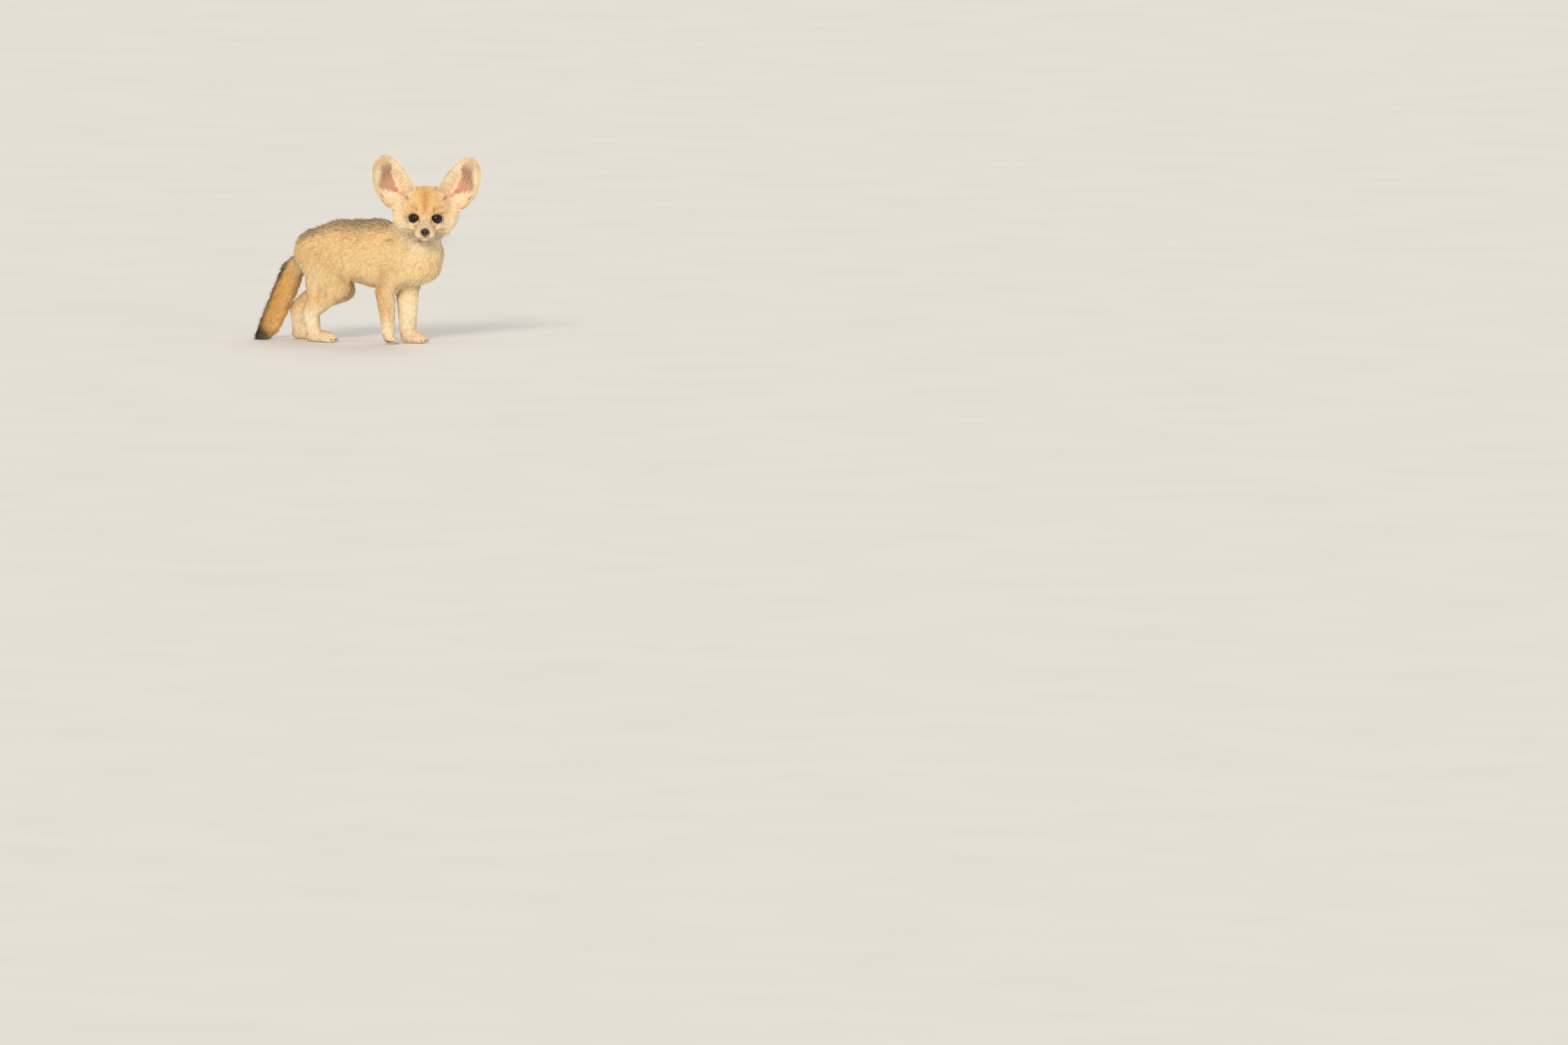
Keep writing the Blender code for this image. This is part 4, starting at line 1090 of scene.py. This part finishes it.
# %% Grow one piece of the coat
def grow(name, where, seed, blade_kind=LONG, clump=0.38, lock=24, tone_change=0.04, guard=None,
         finish=FUR):
    """One coat piece: tufts on the faces where the mask is true."""
    draw = np.random.default_rng(seed)
    total = np.cumsum(np.where(where, expected, 0))
    stops, widths, triangles = blade_kind["stops"], blade_kind["widths"], blade_kind["triangles"]
    rungs = len(widths)
    corners = 2 * rungs + 1
    count = min(MOST_TRIANGLES // len(triangles), int(total[-1]))
    chosen = np.searchsorted(total, (np.arange(count) + draw.random(count)) / count * total[-1])
    chosen = np.minimum(chosen, len(faces) - 1)
    a, b = np.sqrt(draw.random(count)), draw.random(count)
    weights = np.stack([1 - a, a * (1 - b), a * b], 1)
    root = mixed(points, chosen, weights)
    normal = unit(mixed(normals, chosen, weights))
    heading = mixed(lie, chosen, weights)
    heading = unit(heading - normal * (heading * normal).sum(1, keepdims=True))
    swing = draw.normal(0, 0.13, count)
    heading = unit(heading * np.cos(swing)[:, None] + np.cross(normal, heading) * np.sin(swing)[:, None])
    reach = mixed(length, chosen, weights) * draw.uniform(0.66, 1.22, count)
    wide = mixed(width, chosen, weights) * draw.uniform(0.75, 1.2, count)
    first = mixed(lift, chosen, weights) * draw.uniform(0.6, 1.3, count)
    if guard is not None:
        dark = draw.random(count) < mixed(guard, chosen, weights)
        reach[dark] *= 1.22
        first[dark] *= 1.2
    spine = bent_lines(draw, root, normal, heading, reach, first, mixed(settle_to, chosen, weights), stops)
    leaders, nearest, apart = find_leaders(draw, root, heading, lock)
    pull = clump * np.clip(1.7 - 0.5 * apart, 0, 1)
    spine += (spine[leaders[nearest]] - spine) * (pull[:, None] * stops ** 1.3)[..., None]
    spine[..., 2] = np.maximum(spine[..., 2], LOWEST_LINE)
    blades = flat_blades(draw, spine, normal, wide, widths)
    blade_faces = triangles[None] + corners * np.arange(count)[:, None, None]
    mesh = mesh_from(name, blades.reshape(-1, 3), blade_faces.reshape(-1, 3))
    # Colour: darker at the root and paler at the tip, a painted shade for the shadow inside the coat, whose
    # blades cast none, and each tuft a little different
    lock_tone_and_gap_shade = np.exp(draw.normal(0, tone_change, len(leaders)))[nearest]
    # A blade far from its lock's leader is a little darker: painted shade in the gaps between locks
    lock_tone_and_gap_shade = lock_tone_and_gap_shade * (1.03 - 0.05 * np.clip(apart, 0, 2))
    base = mixed(colours, chosen, weights) * (lock_tone_and_gap_shade * np.exp(draw.normal(0, 0.06, count)))[:, None]
    warm = draw.normal(0, 0.05, count)[:, None] * np.array([1.0, 0.0, -1.6])
    base = np.clip(base * (1 + warm), 0, 1)
    if guard is not None:
        base[dark] *= draw.uniform(0.3, 0.66, dark.sum())[:, None]
    level = np.append(np.repeat(stops[:-1], 2), 1.0)
    # Painted shade, dark at the root and pale at the tip
    shade = 0.74 + 0.39 * level
    set_markings_and_shade(mesh, np.clip(base[:, None] * shade[:, None], 0, 0.95).reshape(-1, 3))
    skin_ways = np.repeat(unit(mixed(leaning_normals, chosen, weights))[:, None], corners, 1)
    leaning = mesh.attributes.new("skin_normal", "FLOAT_VECTOR", "POINT")
    leaning.data.foreach_set("vector", skin_ways.astype(np.float32).ravel())
    # Each tuft has its own small patch at its root's place on the skin's unwrap
    place = (unwrap[chosen] * weights[..., None]).sum(1)
    local = np.stack([np.append(np.tile([0.0, 1.0], rungs), 0.5), level], 1) * PATCH
    patch = np.clip(place[:, None] + local - PATCH / 2, 0, 1)
    layer = mesh.uv_layers.new(name="OFBake")
    layer.data.foreach_set("uv", patch[:, triangles.ravel()].astype(np.float32).ravel())
    piece = place_piece(name, mesh, finish)
    piece.visible_shadow = False
    print(name, count, "of", int(total[-1]), "tufts,", count * len(triangles), "triangles")
    return piece


print("tufts to grow:", int(expected.sum()))

# %% [markdown]
# The coat is grown in pieces by region. Dark guard hairs are scattered along the back and the tail's upper
# edge, so each region passes the share of its hairs that are dark.

# %% Grow the coat
face_share = {kind: values[faces].mean(1) for kind, values in shares.items()}
middle = points[faces].mean(1)
most = np.array([face_share[kind] for kind in KINDS]).argmax(0)
kind_is = {kind: (most == k) & ~on_ear[faces[:, 0]] for k, kind in enumerate(KINDS)}
left_half = middle[:, 1] > 11
left_face = in_head(middle)[:, 1] > 0
guard = 0.24 * ramp(normals[:, 2], 0.25, 0.95) * shares["torso"]
guard += 0.10 * shares["neck"] * ramp(normals[:, 2], 0.2, 0.8)
guard += shares["tail"] * 0.25 * ramp(-unit(along_tail(points)[2])[:, 0], 0.1, 0.9)
half_way = middle[:, 0] > -8
COAT = [
    grow("coat_flank_left_fore", kind_is["torso"] & left_half & half_way, 21, guard=guard),
    grow("coat_flank_left_rear", kind_is["torso"] & left_half & ~half_way, 22, guard=guard),
    grow("coat_flank_right_fore", kind_is["torso"] & ~left_half & half_way, 23, guard=guard),
    grow("coat_flank_right_rear", kind_is["torso"] & ~left_half & ~half_way, 24, guard=guard),
    grow("coat_neck", kind_is["neck"], 25, guard=guard),
    grow("coat_head_left", kind_is["head"] & left_face, 26, SHORT, 0.3, 12, 0.025),
    grow("coat_head_right", kind_is["head"] & ~left_face, 27, SHORT, 0.3, 12, 0.025),
    grow("coat_forelegs", kind_is["fore"], 28, SHORT, 0.35, 14, 0.03),
    grow("coat_hindlegs", kind_is["hind"], 29, SHORT, 0.35, 14, 0.03),
    grow("coat_tail", kind_is["tail"], 30, LONG, 0.4, 18, 0.05, guard=guard),
    grow("coat_ear_backs", behind[faces[:, 0]], 31, SHORT, 0.2, 12, 0.03, finish=EAR_FUR),
    grow("coat_ear_cups", in_cup[faces[:, 0]], 32, LONG, 0.6, 12, 0.03, finish=EAR_FUR),
]

# %% [markdown]
# The eyes are wet, dark balls. A fennec's iris is so deep a brown that the pupil hardly shows, so the colour
# is painted by how far each point lies from the middle of the cornea, and the gloss does the rest.

# %% Eyes
EYE_GLOSS = make_finish("wet_dark_eye", 0.05, grain=1500, depth=0.0, mottle=0.08, specular=0.4)
EYE_ROWS, EYE_SIDES = 39, 56
IRIS, IRIS_RING, PUPIL, EYE_BORDER = tone(20, 10, 7), tone(50, 28, 17), tone(8, 6, 6), tone(24, 16, 14)


def ball(radius, rows, sides):
    """A ball whose poles lie ahead and behind, as points and triangles."""
    turns = np.arange(sides) * 2 * math.pi / sides
    points = [(math.cos(row), math.sin(row) * math.cos(turned), math.sin(row) * math.sin(turned))
              for row in np.linspace(0, math.pi, rows + 2)[1:-1] for turned in turns]
    points += [(1, 0, 0), (-1, 0, 0)]
    return np.array(points) * radius, np.array(closed_faces(rows, sides))


eyes = []
for side, name in ((1, "eye_left"), (-1, "eye_right")):
    local, eye_faces = ball(EYE_RADIUS, EYE_ROWS, EYE_SIDES)
    around = np.hypot(local[:, 1], local[:, 2]) + 20 * (local[:, 0] < 0)
    local[:, 0] += 0.35 * ramp(-around, -4.5, -1.5)
    mesh = mesh_from(name + "_ball", moved(local, EYE_FRAMES[side]), eye_faces)
    set_markings_and_shade(mesh, paint(IRIS, (IRIS_RING, 0.8 * spot(around, 4.3, 1.1)),
                             (PUPIL, ramp(-around, -3.5, -3.0)), (EYE_BORDER, ramp(around, 5.0, 5.6))))
    eye = place_piece(name + "_ball", mesh, EYE_GLOSS)
    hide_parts(name)
    eyes.append(eye)
print("eyes of radius", EYE_RADIUS, "mm")

# %% [markdown]
# The nose is bare, moist leather. Its solid has the right shape with both nostrils, but coarse facets, so a
# copy is melted with small voxels into a smooth one that replaces it, and the leather is a fine bump.

# %% Nose
NOSE_LEATHER = make_finish("nose_leather", 0.38, colour=tone(60, 42, 42), grain=1300, depth=0.7, mottle=0.25,
                           specular=0.45)
nose_points, nose_faces = remeshed(*solid_arrays("nose"), 0.28, 6)
NOSE_FRAME = HEAD @ Matrix.Translation(NOSE_PLACE)
local = moved(nose_points, NOSE_FRAME.inverted())
local[:, 1] *= 1 - 0.38 * ramp(-local[:, 2], 0.2, 4.6)  # it narrows to the cleft below
nose_points = moved(local, NOSE_FRAME)
nose= place_piece("nose_leather", mesh_from("nose_leather", nose_points, nose_faces), NOSE_LEATHER)
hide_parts("nose")
print("nose of", len(nose_faces), "triangles")

# %% [markdown]
# Whiskers, brow hairs, claws and the dark line of the mouth are all thin tapered rods along a path. A path
# is a chain of points with a taper value, and one node tree turns every chain into a rod: mesh to curve, a
# round profile scaled by the taper, then the finish.

# %% The tapered rod tree
rods_tree = bpy.data.node_groups.new("tapered_rods", "GeometryNodeTree")
rods_tree.is_modifier = True
SOCKETS = {}
for label, kind in (("Geometry", "NodeSocketGeometry"), ("Thickness", "NodeSocketFloat"),
                    ("Sides", "NodeSocketInt"), ("Finish", "NodeSocketMaterial")):
    SOCKETS[label] = rods_tree.interface.new_socket(label, in_out="INPUT", socket_type=kind).identifier
rods_tree.interface.new_socket("Geometry", in_out="OUTPUT", socket_type="NodeSocketGeometry")
given = node(rods_tree, "NodeGroupInput")
to_curve = node(rods_tree, "GeometryNodeMeshToCurve")
profile = node(rods_tree, "GeometryNodeCurvePrimitiveCircle")
taper = node(rods_tree, "GeometryNodeInputNamedAttribute", data_type="FLOAT")
taper.inputs["Name"].default_value = "taper"
to_mesh = node(rods_tree, "GeometryNodeCurveToMesh")
to_mesh.inputs["Fill Caps"].default_value = True
real = node(rods_tree, "GeometryNodeRealizeInstances")
smooth_it = node(rods_tree, "GeometryNodeSetShadeSmooth")
finish_it = node(rods_tree, "GeometryNodeSetMaterial")
result = node(rods_tree, "NodeGroupOutput")
link_up(rods_tree, (given, "Geometry", to_curve, "Mesh"), (to_curve, "Curve", to_mesh, "Curve"),
        (given, "Sides", profile, "Resolution"), (given, "Thickness", profile, "Radius"),
        (profile, "Curve", to_mesh, "Profile Curve"), (taper, "Attribute", to_mesh, "Scale"),
        (to_mesh, "Mesh", smooth_it, "Geometry"), (smooth_it, "Geometry", real, "Geometry"),
        (real, "Geometry", finish_it, "Geometry"), (given, "Finish", finish_it, "Material"),
        (finish_it, "Geometry", result, "Geometry"))


def rods_along(name, paths, tapers, thickness, sides, finish):
    """One piece of tapered rods. Paths are in millimetres, with a taper value for each point."""
    places = np.concatenate(paths)
    edges, count = [], 0
    for path in paths:
        edges += [(count + k, count + k + 1) for k in range(len(path) - 1)]
        count += len(path)
    mesh = bpy.data.meshes.new(name)
    mesh.from_pydata((places * MM).tolist(), edges, [])
    values = mesh.attributes.new("taper", "FLOAT", "POINT")
    values.data.foreach_set("value", np.concatenate(tapers).astype(np.float32))
    guide = place_piece(name + "_guide", mesh, None, smooth=False)
    modifier = guide.modifiers.new("rods", "NODES")
    modifier.node_group = rods_tree
    modifier[SOCKETS["Thickness"]] = thickness * MM
    modifier[SOCKETS["Sides"]] = sides
    modifier[SOCKETS["Finish"]] = finish
    made = settled(guide)
    made.name = name
    piece = place_piece(name, made, None, smooth=False)
    print(name, len(paths), "rods,", len(made.polygons), "faces")
    return piece


# %% [markdown]
# The mouth is a thin dark line under the muzzle with a cleft up to the nose. It is found by looking back at
# the finished skin from ahead, and laid on its surface.

# %% Mouth line
MOUTH_SKIN = make_finish("mouth_line", 0.5, colour=tone(98, 70, 52), grain=1500, depth=0.3, mottle=0.2)
MOUTH = [(0, -25.3), (2.5, -25.7), (5, -26.5), (7.6, -27.5), (10.2, -28.2)]
LINE_ABOVE_SKIN = 0.7
skin_tree = BVHTree.FromPolygons(points[:flesh_count].tolist(), skin_faces.tolist())


def on_muzzle(left_at, high_at):
    """A place just above the skin, straight behind this place ahead of the face."""
    start = HEAD @ Vector((90, left_at, high_at))
    hit, hit_normal = skin_tree.ray_cast(start, -(HEAD.to_3x3() @ Vector((1, 0, 0))))[:2]
    return np.array(hit + hit_normal * LINE_ABOVE_SKIN)


def smooth_path(stops, steps):
    """Points evenly along a line of stops, with its corners rounded."""
    stops = np.array(stops, float)
    at = np.concatenate([[0], np.cumsum(np.linalg.norm(np.diff(stops, axis=0), axis=1))])
    places = np.linspace(0, at[-1], steps)
    path = np.stack([np.interp(places, at, stops[:, axis]) for axis in range(stops.shape[1])], 1)
    for _ in range(3):
        path[1:-1] = (path[:-2] + 2 * path[1:-1] + path[2:]) / 4
    return path


half_line = smooth_path(MOUTH, 14)
right_lip = [on_muzzle(-left_at, high_at) for left_at, high_at in half_line[::-1]]
left_lip = [on_muzzle(left_at, high_at) for left_at, high_at in half_line[1:]]
lip_path = np.array(right_lip + left_lip)
cleft = np.array([on_muzzle(0.2, high_at) for high_at in np.linspace(-22.6, -25.2, 5)])
mouth = rods_along("mouth_line", [lip_path, cleft],
                   [np.sin(np.linspace(0.25, math.pi - 0.25, len(lip_path))) ** 0.4, np.full(5, 0.7)],
                   0.24, 6, MOUTH_SKIN)

# %% [markdown]
# Whiskers spring from rows beside the nose and sweep outwards, back and a little down. Finer hairs stand over
# the inner corners of the eyes. Each one is bent by its own small amount.

# %% Whiskers and brow hairs
WHISKER = make_finish("whisker", 0.35, colour=tone(46, 36, 32), grain=900, depth=0.1, mottle=0.2)
draw = np.random.default_rng(5)
paths, tapers = [], []


def add_hair(root, way, drop, reach, steps=10):
    """A hair in the head's directions that leaves its root along way and bends towards drop."""
    shares_along = np.linspace(0, 1, steps)
    way, drop = unit(np.array(way, float)), np.array(drop, float)
    local = np.array(root) + reach * (way * shares_along[:, None] + drop * (shares_along ** 2)[:, None])
    paths.append(moved(local, HEAD))
    tapers.append(1 - 0.9 * shares_along)


for side in (1, -1):
    for row in range(4):
        for k in range(5):
            root = (40.5 - 2.4 * k, side * (7.5 + 0.8 * k), -18.2 - 1.9 * row)
            way = (-0.04 - 0.12 * k + draw.uniform(-0.06, 0.06), side,
                   0.14 - 0.17 * row + draw.uniform(-0.08, 0.08))
            drop = (-0.34, 0, -0.14 + draw.uniform(-0.06, 0.06))
            add_hair(root, way, drop, draw.uniform(17, 25) + 2.2 * k)
    for k in range(11):
        root = (25.6 - 0.35 * k, side * (7.2 + 0.55 * k), 3.2 + 0.25 * k + draw.uniform(-0.8, 0.8))
        way = (0.34, side * (0.05 + 0.09 * k), 0.8 + draw.uniform(-0.1, 0.1))
        add_hair(root, way, (-0.3, side * 0.05, -0.08), draw.uniform(6, 10), steps=7)
whiskers = rods_along("whiskers", paths, tapers, 0.10, 4, WHISKER)

# %% [markdown]
# Each toe ends in a small claw that comes out of the fur and hooks down, just clear of the floor. Its root is
# found by looking back at each paw from ahead, so that it follows the skin wherever the toe ends.

# %% Claws
TOES_ACROSS = (-6.8, -2.5, 2.5, 6.8)
CLAW_HEIGHT, CLAW_STEPS = 4.8, 9
CLAW_HORN = make_finish("claw_horn", 0.32, colour=tone(124, 100, 80), grain=700, depth=0.15, mottle=0.3,
                        stretch=(1, 1, 0.3))
paths, tapers = [], []
for x, y, toes in PAWS.values():
    foot = Matrix.Translation(SHIFT) @ Matrix.Translation((x, y, 0)) @ turn(toes, "Z")
    backwards = foot.to_3x3() @ Vector((-1, 0, 0))
    for across_at in TOES_ACROSS:
        hit = None
        while hit is None:  # an outer toe that is missed is brought nearer the middle
            hit = skin_tree.ray_cast(foot @ Vector((70, across_at, CLAW_HEIGHT)), backwards)[0]
            across_at *= 1 if hit else 0.9
        tip_at = (foot.inverted() @ hit).x
        stops = [(tip_at - 1.2, across_at, CLAW_HEIGHT), (tip_at + 1.4, across_at * 1.02, 4.7),
                 (tip_at + 3.0, across_at * 1.03, 3.6), (tip_at + 3.7, across_at * 1.03, 1.8)]
        paths.append(moved(smooth_path(stops, CLAW_STEPS), foot))
        tapers.append(1 - 0.88 * np.linspace(0, 1, CLAW_STEPS) ** 1.4)
claws = rods_along("claws", paths, tapers, 0.55, 8, CLAW_HORN)

# %% [markdown]
# Every piece rides on the model's one body. The skin stands for all the flesh nodes, so no seam shows.

# %% Riding and replacing
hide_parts(*FLESH, "tail", "ear_left", "ear_right")
for piece in [skin, nose, mouth, whiskers, claws] + eyes + COAT:
    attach(piece, BODY)
print("pieces:", 5 + len(eyes) + len(COAT))

# %% [markdown]
# The studio is plain: a wide pale floor and three soft suns. The key comes from the camera's left, a weak fill
# from the right, and the third from behind, where it draws the edge of the coat. A pale sky fills the shadows.

# %% Floor and light
floor_finish = make_finish("pale_floor", 0.8, colour=tone(234, 231, 226), grain=6, depth=0.05, mottle=0.02)
REACH = 60000  # from the middle of the floor to its edges
floor_points = np.array([(-REACH, -REACH, 0), (REACH, -REACH, 0), (REACH, REACH, 0), (-REACH, REACH, 0)])
floor_mesh = mesh_from("floor", floor_points, np.array([(0, 1, 2), (0, 2, 3)]))
floor = place_piece("floor", floor_mesh, floor_finish, smooth=False)
world = bpy.data.worlds.new("studio")
bpy.context.scene.world = world
world.use_nodes = True
set_inputs(world.node_tree.nodes["Background"], {"Color": (1.0, 0.955, 0.89, 1), "Strength": 0.52})


def add_sun(name, around, above, softness, power, colour):
    """A soft far light at an angle round from the camera and above the floor, even over the whole floor."""
    data = bpy.data.lights.new(name, "SUN")
    data.angle, data.energy, data.color = math.radians(softness), power, colour
    light = bpy.data.objects.new(name, data)
    turned, raised = AZIMUTH + math.radians(around), math.radians(above)
    way = Vector((math.sin(turned) * math.cos(raised), -math.cos(turned) * math.cos(raised),
                  math.sin(raised)))
    light.location = way * 2
    light.rotation_euler = way.to_track_quat("Z", "Y").to_euler()
    bpy.context.scene.collection.objects.link(light)


add_sun("key", -13, 27, 14, 1.65, (1.0, 0.97, 0.89))
add_sun("fill", 30, 14, 12, 0.38, (1.0, 0.96, 0.9))
add_sun("rim", 150, 48, 35, 0.7, (0.95, 0.97, 1.0))
bpy.context.scene.view_settings.view_transform = "Standard"
print("lights set")
